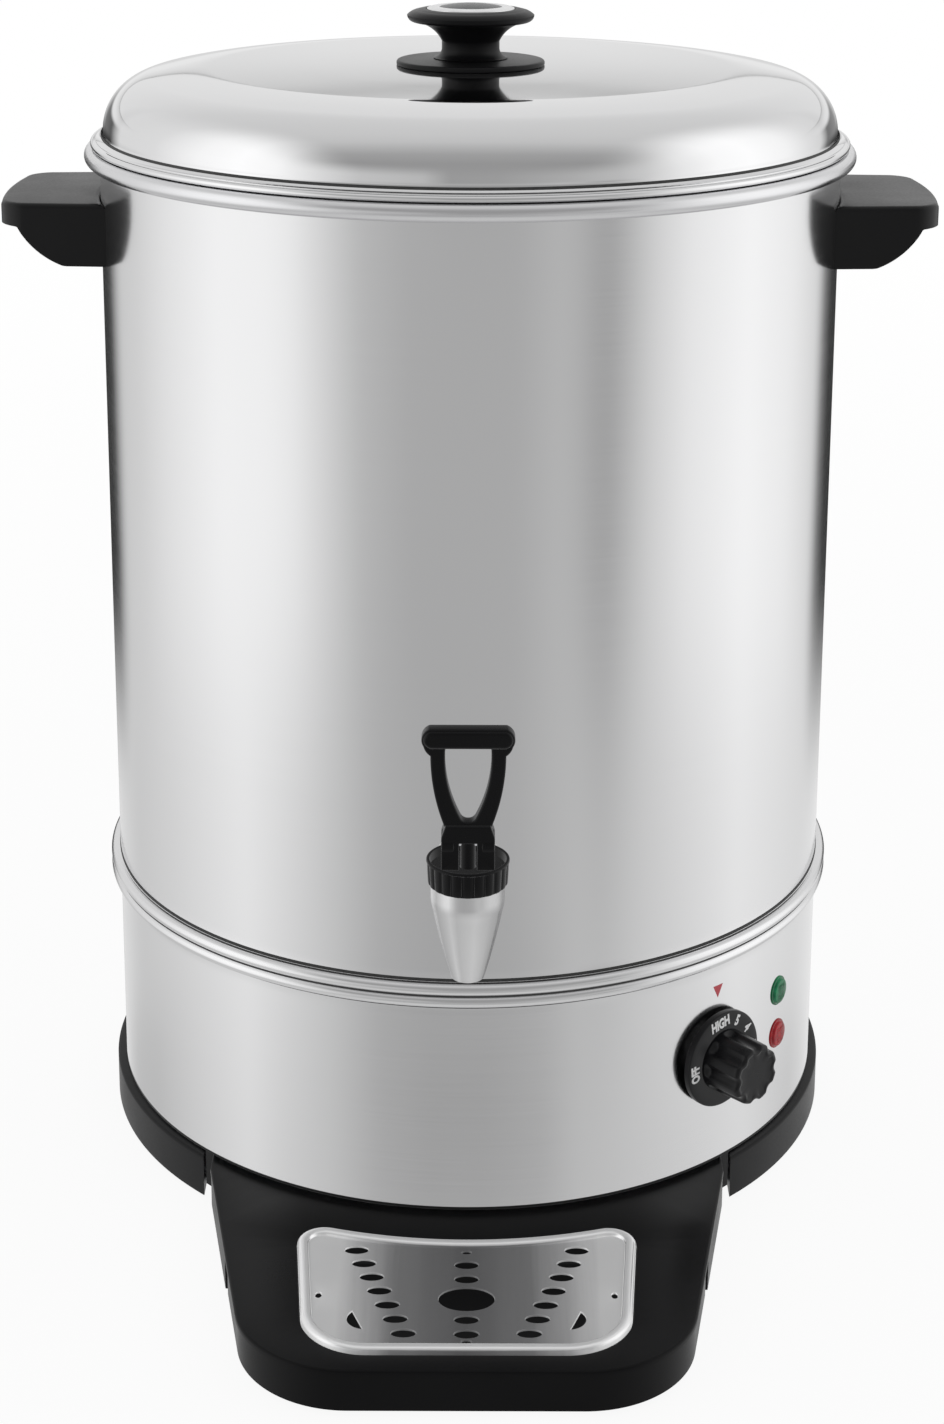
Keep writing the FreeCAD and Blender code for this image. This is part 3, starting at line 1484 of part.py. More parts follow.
def tap_lever():
    """Loop lever: a block that straddles the stem, two legs and a thumb bar."""
    item = body("tap_lever")
    block, low = s.lever_block_half, bonnet_floor_z + s.lid_gap
    neck = block - LEVER_NECK_STEP
    top = bonnet_z + s.lever_height
    bar_z = top - LEVER_BAR
    neck_z = pivot_z + LEVER_NECK_RISE
    drawing = sketch(item, "loop_outline")
    half = [
        (neck, neck_z),
        (LEVER_LEG_HALF, bar_z - 1.5, 90, "left"),
        (s.lever_half - 1, bar_z + 2, 7, "left"),
        (s.lever_half - 4, top, 5.8, "left"),
    ]
    other = [
        (-(s.lever_half - 4), top),
        (-(s.lever_half - 1), bar_z + 2, 5.8, "left"),
        (-LEVER_LEG_HALF, bar_z - 1.5, 7, "left"),
        (-neck, neck_z, 90, "left"),
    ]
    outline(drawing, half + other)
    window_top, window_low = bar_z + 1.2, neck_z + 2.2
    outline(drawing, [
        (7.5, window_top),
        (9.5, window_top - 2, 2, "right"),
        (3, window_low + 1.5, 60, "right"),
        (-3, window_low + 1.5, 3.6, "right"),
        (-9.5, window_top - 2, 60, "right"),
        (-7.5, window_top, 2, "right"),
    ])
    raised(item, "loop", drawing, s.lever_thick * 2, both_ways=True)
    drawing = sketch(item, "block_outline")
    outline(drawing, [
        (block - 1, low), (block, low + 1), (block, pivot_z + 4.5), (neck, neck_z), (neck, neck_z + 0.5),
        (-neck, neck_z + 0.5), (-neck, neck_z), (-block, pivot_z + 4.5), (-block, low + 1),
        (-(block - 1), low),
    ])
    raised(item, "block", drawing, s.lever_block_depth * 2, both_ways=True)
    drawing = sketch(item, "slot_outline")
    slot, roof = s.stem_radius + 0.6, pivot_z + 6
    outline(drawing, [(-slot, low - 2), (slot, low - 2), (slot, roof), (-slot, roof)])
    raised(item, "slot", drawing, s.lever_block_depth * 2 + 4, cut=True, both_ways=True)
    rod(item, "pin_hole", 0, pivot_z, -block - 1, s.pin_radius + PRESSED, block * 2 + 2, "YZ_Plane", cut=True)
    put(item, 0, -tap_axis, 0)


# The lever's loop: how deep its thumb bar and the neck's step are, how high the neck is over the
# pivot, and how far out the legs go.
LEVER_BAR = 11.5
LEVER_NECK_STEP = 1.4
LEVER_NECK_RISE = 8.0
LEVER_LEG_HALF = 16.5


def lever_pin():
    """Pin that joins the lever to the stem."""
    item = body("lever_pin")
    length = s.lever_block_half * 2 - 0.6
    rod(item, "pin", 0, pivot_z, -(length / 2), s.pin_radius, length, "YZ_Plane")
    put(item, 0, -tap_axis, 0)


def corner(before, at, after, radius):
    """The two steps that round a corner of an outline which goes round to the left."""
    legs = []
    for spot in (before, after):
        across, along = size(spot[0]) - at[0], size(spot[1]) - at[1]
        length = root(across * across + along * along)
        legs.append((across / length, along / length))
    (ux, uy), (vx, vy) = legs
    spread = ux * vx + uy * vy
    trim = radius * root((1 + spread) / (1 - spread))
    return [(at[0] + ux * trim, at[1] + uy * trim), (at[0] + vx * trim, at[1] + vy * trim, radius, "left")]


def tray_deck_plan(back):
    """The deck from above: a curved back, shoulders, and sides that close in to the front."""
    shoulder, depth = s.tray_shoulder_half, s.tray_shoulder_depth
    half, front = s.tray_front_half, s.tray_front
    start = -on_circle(back, shoulder)
    return [
        (-shoulder, start, back, "right"),
        (-shoulder, -depth),
        *corner((-shoulder, -depth), (-half, -front), (half, -front), s.tray_corner),
        *corner((-half, -front), (half, -front), (shoulder, -depth), s.tray_corner),
        (shoulder, -depth),
        (shoulder, start),
    ]


def tray_skirt_plan(inset):
    """The skirt from above, which goes round the front of the tray only."""
    slope = (s.tray_shoulder_half - s.tray_front_half) / (s.tray_front - s.tray_shoulder_depth)
    rear = -(s.tray_body_back + inset)
    rear_half = s.tray_shoulder_half - slope * (s.tray_body_back + inset - s.tray_shoulder_depth) - inset
    half, front = s.tray_front_half - inset * 0.82, s.tray_front - inset
    return [
        (-rear_half, rear),
        *corner((-rear_half, rear), (-half, -front), (half, -front), s.tray_corner - inset),
        *corner((-half, -front), (half, -front), (rear_half, rear), s.tray_corner - inset),
        (rear_half, rear),
    ]


def grate_plan(grow):
    """The grate from above, grown or shrunk all round: a hollow back edge about the tank's axis,
    sides that close in a little, and four round corners."""
    back, front = s.grate_back - grow, s.grate_front + grow
    half, front_half = s.grate_back_half + grow, s.grate_front_half + grow
    back_corner, front_corner = s.grate_back_corner + grow, s.grate_front_corner + grow
    across, along = front_half - half, s.grate_back - s.grate_front
    length = root(across * across + along * along)
    way_x, way_y = across / length, along / length
    out_x, out_y = -way_y, way_x
    # The back corner's centre is its own radius from the side line and from the back arc.
    offset = out_x * half - out_y * s.grate_back - back_corner
    reach = back + back_corner
    down = root(reach * reach - offset * offset)
    centre_x, centre_y = out_x * offset + way_x * down, out_y * offset + way_y * down
    side_x, side_y = centre_x + out_x * back_corner, centre_y + out_y * back_corner
    arc_x, arc_y = centre_x * back / reach, centre_y * back / reach
    return [
        (arc_x, arc_y, back_corner, "left"),
        (-arc_x, arc_y, back, "right"),
        (-side_x, side_y, back_corner, "left"),
        *corner((-side_x, side_y), (-front_half, -front), (front_half, -front), front_corner),
        *corner((-front_half, -front), (front_half, -front), (side_x, side_y), front_corner),
        (side_x, side_y),
    ]


def drawn_up(item, name, steps, low, height, cut=False):
    """A plan drawn up from a level, added or cut away."""
    drawing = sketch(item, name + "_outline", "XY_Plane", low)
    outline(drawing, steps)
    return raised(item, name, drawing, height, cut)


def drip_tray():
    """Black drip tray: a deck that reaches under the shell, a skirt round the front, a well under
    the grate and a recess for the grate's rim."""
    item = body("drip_tray")
    rim = s.grate_rim + s.grate_sheet
    floor = base_z + s.well_clearance + s.well_floor
    drawn_up(item, "deck", tray_deck_plan(spigot_inside + s.tray_back_gap), tray_under, s.tray_plate)
    drawn_up(item, "skirt", tray_skirt_plan(tray_inset), base_z, tray_under - base_z)
    drawn_up(item, "skirt_hollow", tray_skirt_plan(tray_inset + s.base_wall), base_z - 1,
             tray_under - base_z + 1, cut=True)
    drawn_up(item, "well_wall", grate_plan(s.base_wall - rim), base_z + s.well_clearance,
             tray_under - base_z - s.well_clearance)
    drawn_up(item, "well", grate_plan(-rim), floor, tray_top - floor + 1, cut=True)
    drawn_up(item, "recess", grate_plan(s.fit_gap * 2), grate_z, s.grate_sink + 1, cut=True)
    rounded(item, "deck_edge", s.tray_plate / 2, deck_edges)


tray_inset = s.base_wall * 0.4


def deck_edges(edge):
    """The deck's top outer edges, clear of its back and of the grate's recess."""
    box = edge.BoundBox
    top = tray_top.value
    if abs(box.ZMin - top) > 0.01 or abs(box.ZMax - top) > 0.01:
        return False
    middle = edge.valueAt((edge.FirstParameter + edge.LastParameter) / 2)
    half, front = s.grate_back_half.value, s.grate_front.value
    beside = abs(middle.x) > half + RECESS_CLEAR
    return middle.y < -s.tray_shoulder_depth.value and (beside or middle.y < -front - RECESS_CLEAR)


# How far past the grate's outline an edge of the deck has to be to count as an outer one.
RECESS_CLEAR = 5.0


def drip_grate():
    """Steel grate: a rounded rim, a dished panel, rows of drain holes, two half-moon holes and
    four small notches at the foot of the rim."""
    item = body("drip_grate")
    under = panel_top - s.grate_sheet
    drawn_up(item, "rim", grate_plan(size(0)), grate_z, s.grate_height)
    drawn_up(item, "dish", grate_plan(-s.grate_rim), panel_top, s.grate_dish + 1, cut=True)
    drawn_up(item, "under", grate_plan(-s.grate_sheet * 1.5), grate_z - 1, under - grate_z + 1, cut=True)
    rounded(item, "rim_edge", s.grate_rim * 0.36, level_at(grate_top))
    drawing = sketch(item, "hole_outline", "XY_Plane", under - 1)
    for number in range(int(s.row_count.value)):
        along = s.row_start + s.hole_pitch * number
        for side in (1, -1):
            slot_in(drawing, (s.row_half - s.hole_shift * number) * side, -along, s.hole_length, s.hole_width)
    for step in MIDDLE_HOLES:
        slot_in(drawing, 0, -(s.drain_centre + s.hole_pitch * step), s.hole_length, s.hole_width)
    slot_in(drawing, 0, -s.drain_centre, s.drain_length, s.drain_width)
    for side in (1, -1):
        half_moon(drawing, side)
    raised(item, "holes", drawing, s.grate_sheet + 2, cut=True)
    drawing = sketch(item, "notch_outline", "XY_Plane", under - 1)
    rim = s.grate_rim
    notch_half = s.grate_back_half - rim * 1.5
    for x, y in ((notch_half, s.drain_centre - 3), (-notch_half, s.drain_centre - 3),
                 (0, s.grate_back + rim * 1.35), (0, s.grate_front - rim * 0.7)):
        slot_in(drawing, x, -y, rim, rim * 0.6)
    raised(item, "notches", drawing, s.grate_height, cut=True)


# Places of the middle row's small holes, in hole pitches from the drain hole.
MIDDLE_HOLES = (-2.5, -1.45, 1.45, 2.45)


def half_moon(drawing, side):
    """A half-moon hole near a front corner, its round side outward."""
    x, y = s.row_half * side, -(s.drain_centre + s.hole_pitch * 0.85)
    outline(drawing, [
        (x - s.hole_width * side, y - s.hole_pitch * 1.26),
        (x, y, s.hole_pitch * 0.75, "left" if side > 0 else "right"),
    ])


def out_at(angle):
    """The level direction out of the tank at an angle from the front."""
    angle = math.radians(size(angle).value)
    return Vector(math.sin(angle), -math.cos(angle), 0)


def wiring():
    """Insulated leads from the terminal block to the element, the cut-out, the thermostat and the lamps."""
    way_floor, block_top = (terminal_top - TERMINAL_DEPTH).value, terminal_top.value
    pin_foot = (element_z - cold_end_length - pin_length).value
    blade_foot = cutout_foot.value
    end_x, end_y = cold_end_x.value, cold_end_y.value
    out = out_at(s.dial_angle)
    case_back = out * thermostat_back.value + Vector(0, 0, (s.dial_height - s.thermostat_radius * 0.4).value)

    def from_way(number):
        return Vector(way_x(number), TERMINAL_Y, way_floor)

    routes = [
        [from_way(0), Vector(way_x(0), TERMINAL_Y, block_top + 25), Vector(-end_x, end_y, pin_foot - 25),
         Vector(-end_x, end_y, pin_foot)],
        [from_way(1), Vector(way_x(1), TERMINAL_Y, block_top + 20),
         Vector(-BLADE_ACROSS, 40, blade_foot - 22), Vector(-BLADE_ACROSS, 0, blade_foot - 20),
         Vector(-BLADE_ACROSS, 0, blade_foot)],
        [Vector(BLADE_ACROSS, 0, blade_foot), Vector(BLADE_ACROSS, 0, blade_foot - 22),
         Vector(22, 25, blade_foot - 26), Vector(end_x, end_y - 12, pin_foot - 22),
         Vector(end_x, end_y, pin_foot - 14), Vector(end_x, end_y, pin_foot)],
        [from_way(3), Vector(way_x(3), TERMINAL_Y, block_top + 15), Vector(40, 60, block_top + 22),
         Vector(60, 10, block_top + 20), Vector(66, -40, case_back.z), case_back - out * 18, case_back],
    ]
    out = out_at(s.lamp_angle)
    for height, x in ((s.green_height, way_x(4)), (s.red_height, way_x(4) - LEAD_RADIUS * 3)):
        holder_back = out * lamp_back.value + Vector(0, 0, height.value)
        routes.append([
            Vector(x, TERMINAL_Y, block_top), Vector(x, TERMINAL_Y, block_top + 10),
            Vector(x + 45, 66, block_top + 8), Vector(x + 82, 20, height.value - 12),
            holder_back - out * 22, holder_back,
        ])
    item = doc.addObject("Part::Feature", "wiring")
    item.Label = "wiring"
    item.Shape = Part.makeCompound([tube(route, LEAD_RADIUS) for route in routes])
    finished(item)


for build in (outer_shell, inner_tank, lower_shell, inner_flange, base_ring, floor_plate, rubber_feet,
              base_screws, heater_plate, heater_studs, heater_nuts, heating_element, thermal_cutout,
              thermostat_body, thermostat_screws, thermostat_bulb, terminal_block, lamp_holders,
              cable_gland, gland_nut, control_knob, dial_shaft, lid_shell, lid_skirt, knob_base,
              lid_knob, knob_ring, knob_cap, knob_screw, knob_washer, handle_screws, tap_body,
              tap_outer_gasket, tap_inner_gasket, tap_nut, tap_bonnet, tap_cover, tap_stem, tap_seat_cup,
              tap_spring, tap_lever, lever_pin, drip_tray, drip_grate, wiring):
    build()
handle("handle_right", 1)
handle("handle_left", -1)
handle_bracket("handle_bracket_right", 1)
handle_bracket("handle_bracket_left", -1)
lamp("green_lens", s.green_height)
lamp("red_lens", s.red_height)


def check_and_write():
    """Stop at anything that failed, then write each sub-part to its own file."""
    doc.recompute()
    for item in doc.Objects:
        if "Invalid" in item.State or "Error" in item.State:
            raise RuntimeError("failed: " + item.Label + " " + item.getStatusString())
    os.makedirs("parts", exist_ok=True)
    for item in sub_parts:
        if item.Shape.isNull() or not item.Shape.isValid():
            raise RuntimeError("bad shape: " + item.Label)
        item.Shape.exportStep("parts/%s.step" % item.Label)
        print("%-20s solids %d volume %.0f" % (item.Label, len(item.Shape.Solids), item.Shape.Volume))


check_and_write()
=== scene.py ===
"""A dressed hot water urn: steel tank, lift-off lid, lever tap, dial, lamps, handles and drip tray.

Sizes are in millimetres and become metres where a mesh is made. The camera's place and the lengths
inside a material are in metres. The front faces -Y.
"""
import json
import math

import bmesh
import bpy
from mathutils import Matrix, Vector


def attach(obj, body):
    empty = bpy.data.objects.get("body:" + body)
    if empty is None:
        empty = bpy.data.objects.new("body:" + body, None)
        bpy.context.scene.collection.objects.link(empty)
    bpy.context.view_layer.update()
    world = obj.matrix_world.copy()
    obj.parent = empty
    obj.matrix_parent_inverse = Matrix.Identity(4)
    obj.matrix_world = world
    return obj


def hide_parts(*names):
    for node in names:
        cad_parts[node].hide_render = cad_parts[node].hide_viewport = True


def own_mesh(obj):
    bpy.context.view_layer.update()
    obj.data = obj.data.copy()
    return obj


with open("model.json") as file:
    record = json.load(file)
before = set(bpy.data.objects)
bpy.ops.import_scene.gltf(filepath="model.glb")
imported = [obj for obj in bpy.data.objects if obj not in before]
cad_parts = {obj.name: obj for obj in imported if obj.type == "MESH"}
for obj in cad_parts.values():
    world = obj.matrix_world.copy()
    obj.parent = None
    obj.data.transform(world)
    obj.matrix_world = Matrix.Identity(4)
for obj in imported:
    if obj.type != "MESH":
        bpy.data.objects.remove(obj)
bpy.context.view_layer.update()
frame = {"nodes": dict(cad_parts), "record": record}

MM = 0.001
TURN = 2 * math.pi

# The urn's own levels, radii and turns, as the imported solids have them.
FLOOR_Z = 3.0
BASE_TOP = 24.0
SHELL_FOOT = 25.5
SEAM_Z = 134.25
RIM_Z = 500.0
LID_TOP = 537.0
SHELL_R = 180.0
TANK_R = 175.0
SHEET = 0.8
SHELL_IN = SHELL_R - SHEET
TAP_Y = -242.0
TAP_Z = 200.0
DIAL_TURN = math.radians(41.4)
LAMP_TURN = math.radians(57.4)
DIAL_Z = 80.0
LAMPS = (("green", 95.0), ("red", 72.0))

# How meshes are made: edges sharper than this stay crisp, points nearer than this are one, and an
# arc has no finer and no coarser steps than these, in radians.
CRISP_ANGLE = 35.0
SAME_SPOT = 1e-5
FINEST_STEP = 0.008
COARSEST_STEP = 0.2


# Meshes

def linked(name, data):
    """A new object in the scene."""
    item = bpy.data.objects.new(name, data)
    bpy.context.scene.collection.objects.link(item)
    return item


def made_mesh(item):
    """The plain mesh that a drawing, words or a modifier come to."""
    bpy.context.view_layer.update()
    seen = item.evaluated_get(bpy.context.evaluated_depsgraph_get())
    return bpy.data.meshes.new_from_object(seen)


def traced(name, drawing):
    """A bmesh of a drawing or of words."""
    holder = linked(name, drawing)
    mesh = made_mesh(holder)
    bpy.data.objects.remove(holder)
    shape = bmesh.new()
    shape.from_mesh(mesh)
    bpy.data.meshes.remove(mesh)
    return shape


def build(name, shape, sharp=CRISP_ANGLE):
    """A mesh object from a bmesh in millimetres, with soft faces and crisp edges past an angle."""
    bmesh.ops.remove_doubles(shape, verts=shape.verts, dist=0.0005)
    bmesh.ops.recalc_face_normals(shape, faces=shape.faces)
    mesh = bpy.data.meshes.new(name)
    bmesh.ops.scale(shape, vec=(MM, MM, MM), verts=shape.verts)
    shape.to_mesh(mesh)
    shape.free()
    mesh.shade_smooth()
    mesh.set_sharp_from_angle(angle=math.radians(sharp))
    return linked(name, mesh)


def joined(name, *items):
    """Several mesh objects made one piece."""
    shape = bmesh.new()
    for item in items:
        mesh = item.data
        shape.from_mesh(mesh)
        bpy.data.objects.remove(item)
        bpy.data.meshes.remove(mesh)
    mesh = bpy.data.meshes.new(name)
    shape.to_mesh(mesh)
    shape.free()
    mesh.set_sharp_from_angle(angle=math.radians(CRISP_ANGLE))
    return linked(name, mesh)


def on_turn(radius, angle, height):
    """A spot at a radius from the upright axis, turned from the front toward the right."""
    return Vector((radius * math.sin(angle), -radius * math.cos(angle), height))


def out_of_wall(turn, height):
    """The place of a piece whose own upright axis points out of the tank's wall."""
    place = Matrix.Translation(on_turn(SHELL_R, turn, height))
    return place @ Matrix.Rotation(turn, 4, "Z") @ Matrix.Rotation(math.pi / 2, 4, "X")


def loft(shape, loops, closed_stack=False):
    """Faces between closed loops that have the same number of points."""
    rows = [[shape.verts.new(point) for point in loop] for loop in loops]
    count = len(rows[0])
    for level in range(len(rows) if closed_stack else len(rows) - 1):
        low, high = rows[level], rows[(level + 1) % len(rows)]
        for number in range(count):
            after = (number + 1) % count
            spots = []
            for vert in (low[number], low[after], high[after], high[number]):
                if not spots or (vert.co - spots[-1].co).length > SAME_SPOT:
                    spots.append(vert)
            if (spots[0].co - spots[-1].co).length < SAME_SPOT:
                spots.pop()
            if len(spots) > 2:
                shape.faces.new(spots)
    return rows


def capped_loft(shape, loops):
    """A loft with a face across its first and its last loop."""
    rows = loft(shape, loops)
    shape.faces.new(rows[0])
    shape.faces.new(rows[-1])


def capped(name, loops, sharp=CRISP_ANGLE):
    """A mesh object that is one capped loft."""
    shape = bmesh.new()
    capped_loft(shape, loops)
    return build(name, shape, sharp)


def turn_section(shape, outline, steps, place):
    """A closed section turned about the upright axis. Points at radius 0 are poles."""
    loops = []
    for radius, height in outline:
        loops.append([place @ on_turn(radius, TURN * number / steps, height) for number in range(steps)])
    loft(shape, loops, closed_stack=True)


def turned(name, outline, steps=256, place=Matrix(), sharp=CRISP_ANGLE):
    """A mesh object from a turned section."""
    shape = bmesh.new()
    turn_section(shape, outline, steps, place)
    return build(name, shape, sharp)


def walk(steps, spacing):
    """Points along an outline of straight edges and arcs. Each step is where an edge ends:
    (x, y), or (x, y, radius, 1 for a left turn or -1 for a right turn). An arc has a point about
    every spacing, and a straight edge one about every six."""
    points = []
    for number, step in enumerate(steps):
        start, end = Vector(steps[number - 1][:2]), Vector(step[:2])
        chord = end - start
        if len(step) == 2:
            count = max(1, int(chord.length / (spacing * 6)))
            points += [start + chord * part / count for part in range(1, count + 1)]
            continue
        radius, side = step[2], step[3]
        reach = math.sqrt(max(radius * radius - chord.length_squared / 4, 0.0))
        across = Vector((-chord.y, chord.x)).normalized() * side
        centre = (start + end) / 2 + across * reach
        first = math.atan2(start.y - centre.y, start.x - centre.x)
        sweep = 2 * math.asin(min(1.0, chord.length / 2 / radius)) * side
        fine = min(abs(sweep) * radius / spacing, abs(sweep) / FINEST_STEP)
        count = max(3, int(fine), int(abs(sweep) / COARSEST_STEP))
        for part in range(1, count + 1):
            angle = first + sweep * part / count
            points.append(centre + radius * Vector((math.cos(angle), math.sin(angle))))
    return points


def section(steps, spacing=1.0):
    """A closed section from its steps, as (radius, height) points."""
    return [(point.x, point.y) for point in walk(steps, spacing)]


def rounded_corner(before, at, after, radius):
    """The two steps that round a corner of an outline that goes round to the left."""
    at = Vector(at)
    into = (Vector(before) - at).normalized()
    out = (Vector(after) - at).normalized()
    spread = into.dot(out)
    trim = radius * math.sqrt((1 + spread) / (1 - spread))
    first, last = at + into * trim, at + out * trim
    return [(first.x, first.y), (last.x, last.y, radius, 1)]


def moved_in(points, inset):
    """A closed outline, going round to the left, moved inward by the same distance everywhere."""
    if not inset:
        return points
    count = len(points)
    moved = []
    for number, point in enumerate(points):
        before = (point - points[number - 1]).normalized()
        after = (points[(number + 1) % count] - point).normalized()
        in_before, in_after = Vector((-before.y, before.x)), Vector((-after.y, after.x))
        moved.append(point + (in_before + in_after) * (inset / (1 + in_before.dot(in_after))))
    return moved


def quarter(start, end, steps):
    """Points of a rounded edge in a rim, between two (inset, height) ends. It leaves the first
    end upright and comes into the second end level."""
    points = []
    for number in range(1, steps + 1):
        angle = math.pi / 2 * number / steps
        points.append((start[0] + (end[0] - start[0]) * (1 - math.cos(angle)),
                       start[1] + (end[1] - start[1]) * math.sin(angle)))
    return points


def soft_top(low, high, soft, steps=4):
    """A rim with an upright side and a rounded top edge."""
    return [(0, low), (0, high - soft), *quarter((0, high - soft), (soft, high), steps)]


def both_edges(thick, soft, steps, inset=0.0):
    """The rim of a plate that reaches the same way to both sides of its middle plane."""
    upper = [(inset, thick - soft), *quarter((inset, thick - soft), (soft, thick), steps)]
    return [(across, -height) for across, height in upper[::-1]] + upper


def filled(shape, *rims):
    """A flat face inside the first rim, round any others. A rim is a closed row of vertices."""
    edges = []
    for rim in rims:
        for number, vert in enumerate(rim):
            edges.append(next(edge for edge in vert.link_edges if edge.other_vert(vert) == rim[number - 1]))
    bmesh.ops.triangle_fill(shape, use_beauty=True, use_dissolve=False, edges=edges)


def rim_loops(outline, rim, place=Matrix()):
    """The loops of a rim, given as (inset, height) steps, round an outline."""
    return [[place @ Vector((p.x, p.y, height)) for p in moved_in(outline, inset)] for inset, height in rim]


def swept(shape, outline, rim, holes=(), hole_rim=(), place=Matrix()):
    """A flat piece: its rim goes from the underside to the top round an outline, and a face closes
    each side. Holes go round to the right and have a rim of their own."""
    stacks = [loft(shape, rim_loops(outline, rim, place))]
    stacks += [loft(shape, rim_loops(hole, hole_rim, place)) for hole in holes]
    filled(shape, *[rows[0] for rows in stacks])
    filled(shape, *[rows[-1] for rows in stacks])


def slab(name, outlines, low, high, edge):
    """A flat piece with rounded edges, drawn in plan."""
    drawing = bpy.data.curves.new(name + "_plan", "CURVE")
    drawing.dimensions = "2D"
    drawing.fill_mode = "BOTH"
    for points in outlines:
        line = drawing.splines.new("POLY")
        line.points.add(len(points) - 1)
        for spot, point in zip(line.points, points):
            spot.co = (point[0], point[1], 0, 1)
        line.use_cyclic_u = True
    drawing.extrude = (high - low) / 2 - edge
    drawing.bevel_depth = edge
    drawing.bevel_resolution = 3
    drawing.offset = -edge
    shape = traced(name + "_plan", drawing)
    bmesh.ops.translate(shape, vec=(0, 0, (high + low) / 2), verts=shape.verts)
    return build(name, shape)


# Materials

class Nodes:
    """A node tree, with short ways to add nodes and join them."""

    def __init__(self, tree):
        self.nodes, self.links = tree.nodes, tree.links

    def feed(self, socket, source):
        """Join a socket to another one, or set it to a number."""
        if isinstance(source, (int, float)):
            socket.default_value = source if socket.type == "VALUE" else (source, source, source, 1)
        else:
            self.links.new(source, socket)

    def maths(self, operation, first, second=0.0):
        """A sum, product or other working of one or two numbers."""
        made = self.nodes.new("ShaderNodeMath")
        made.operation = operation
        self.feed(made.inputs[0], first)
        self.feed(made.inputs[1], second)
        return made.outputs[0]

    def axes(self, source):
        """A vector's three parts."""
        split = self.nodes.new("ShaderNodeSeparateXYZ")
        self.links.new(source, split.inputs["Vector"])
        return split.outputs

    def between(self, source, low, high, start=0.3, end=0.7, way="LINEAR"):
        """The run of a source from start to end spread from low to high, and held beyond."""
        spread = self.nodes.new("ShaderNodeMapRange")
        spread.interpolation_type = way
        for name, value in (("Value", source), ("From Min", start), ("From Max", end),
                            ("To Min", low), ("To Max", high)):
            self.feed(spread.inputs[name], value)
        return spread.outputs["Result"]

    def ramp(self, source, stops):
        """Colours along a run of (place, colour) stops, whose places lie from 0 to 1."""
        made = self.nodes.new("ShaderNodeValToRGB")
        elements = made.color_ramp.elements
        elements[0].position, elements[1].position = stops[0][0], stops[-1][0]
        for place, _ in stops[1:-1]:
            elements.new(place)
        for element, (_, colour) in zip(elements, stops):
            element.color = (*colour, 1)
        self.links.new(source, made.inputs["Fac"])
        return made.outputs["Color"]

    def two_shaders(self, share, first, second, output):
        """A mix of two shaders as the tree's own output."""
        choice = self.nodes.new("ShaderNodeMixShader")
        self.links.new(share, choice.inputs["Fac"])
        self.links.new(first, choice.inputs[1])
        self.links.new(second, choice.inputs[2])
        self.links.new(choice.outputs["Shader"], output.inputs["Surface"])


class Finish(Nodes):
    """A material that is made of noise, colours and roughness in the piece's own space."""

    def __init__(self, name, **values):
        self.material = bpy.data.materials.new(name)
        self.material.use_nodes = True
        super().__init__(self.material.node_tree)
        self.shader = self.nodes["Principled BSDF"]
        self.place = self.nodes.new("ShaderNodeTexCoord").outputs["Object"]
        for key, value in values.items():
            self.shader.inputs[key.replace("_", " ")].default_value = value

    def grain(self, scale, stretch=(1, 1, 1), detail=4, roughness=0.5):
        """Noise in the piece's own space, stretched along its axes."""
        mapping = self.nodes.new("ShaderNodeMapping")
        mapping.inputs["Scale"].default_value = stretch
        noise = self.nodes.new("ShaderNodeTexNoise")
        noise.inputs["Scale"].default_value = scale
        noise.inputs["Detail"].default_value = detail
        noise.inputs["Roughness"].default_value = roughness
        self.links.new(self.place, mapping.inputs["Vector"])
        self.links.new(mapping.outputs["Vector"], noise.inputs["Vector"])
        return noise.outputs["Fac"]

    def blend(self, first, second, share):
        """Two numbers mixed: the share belongs to the second."""
        mix = self.nodes.new("ShaderNodeMix")
        mix.inputs["Factor"].default_value = share
        self.links.new(first, mix.inputs["A"])
        self.links.new(second, mix.inputs["B"])
        return mix.outputs["Result"]

    def coloured(self, source, stops):
        """The piece's colour along a run of stops."""
        self.links.new(self.ramp(source, stops), self.shader.inputs["Base Color"])

    def colour(self, source, low, high):
        """Two colours over the middle of a noise's range."""
        self.coloured(source, [(0.3, low), (0.7, high)])

    def rough(self, source, low, high):
        """The piece's roughness over the middle of a noise's range."""
        self.links.new(self.between(source, low, high), self.shader.inputs["Roughness"])

    def bump(self, source, depth):
        """Raised and sunk detail. The depth is in millimetres."""
        bump = self.nodes.new("ShaderNodeBump")
        bump.inputs["Strength"].default_value = 1.0
        bump.inputs["Distance"].default_value = depth * MM
        self.links.new(source, bump.inputs["Height"])
        self.links.new(bump.outputs["Normal"], self.shader.inputs["Normal"])


def steel(name, tone, rough_low, rough_high, drawn=(2, 2, 260), depth=0.002, blotch=0.012):
    """Stainless sheet: faint rolling lines one way, and slow changes of polish."""
    finish = Finish(name, Metallic=1.0)
    lines = finish.grain(5, drawn, 6, 0.65)
    clouds = finish.grain(9, (1, 1, 1), 3)
    both = finish.blend(lines, clouds, 0.35)
    low = [channel * (1 - blotch) for channel in tone]
    high = [min(1.0, channel * (1 + blotch)) for channel in tone]
    finish.colour(both, low, high)
    finish.rough(both, rough_low, rough_high)
    finish.bump(lines, depth)
    return finish.material


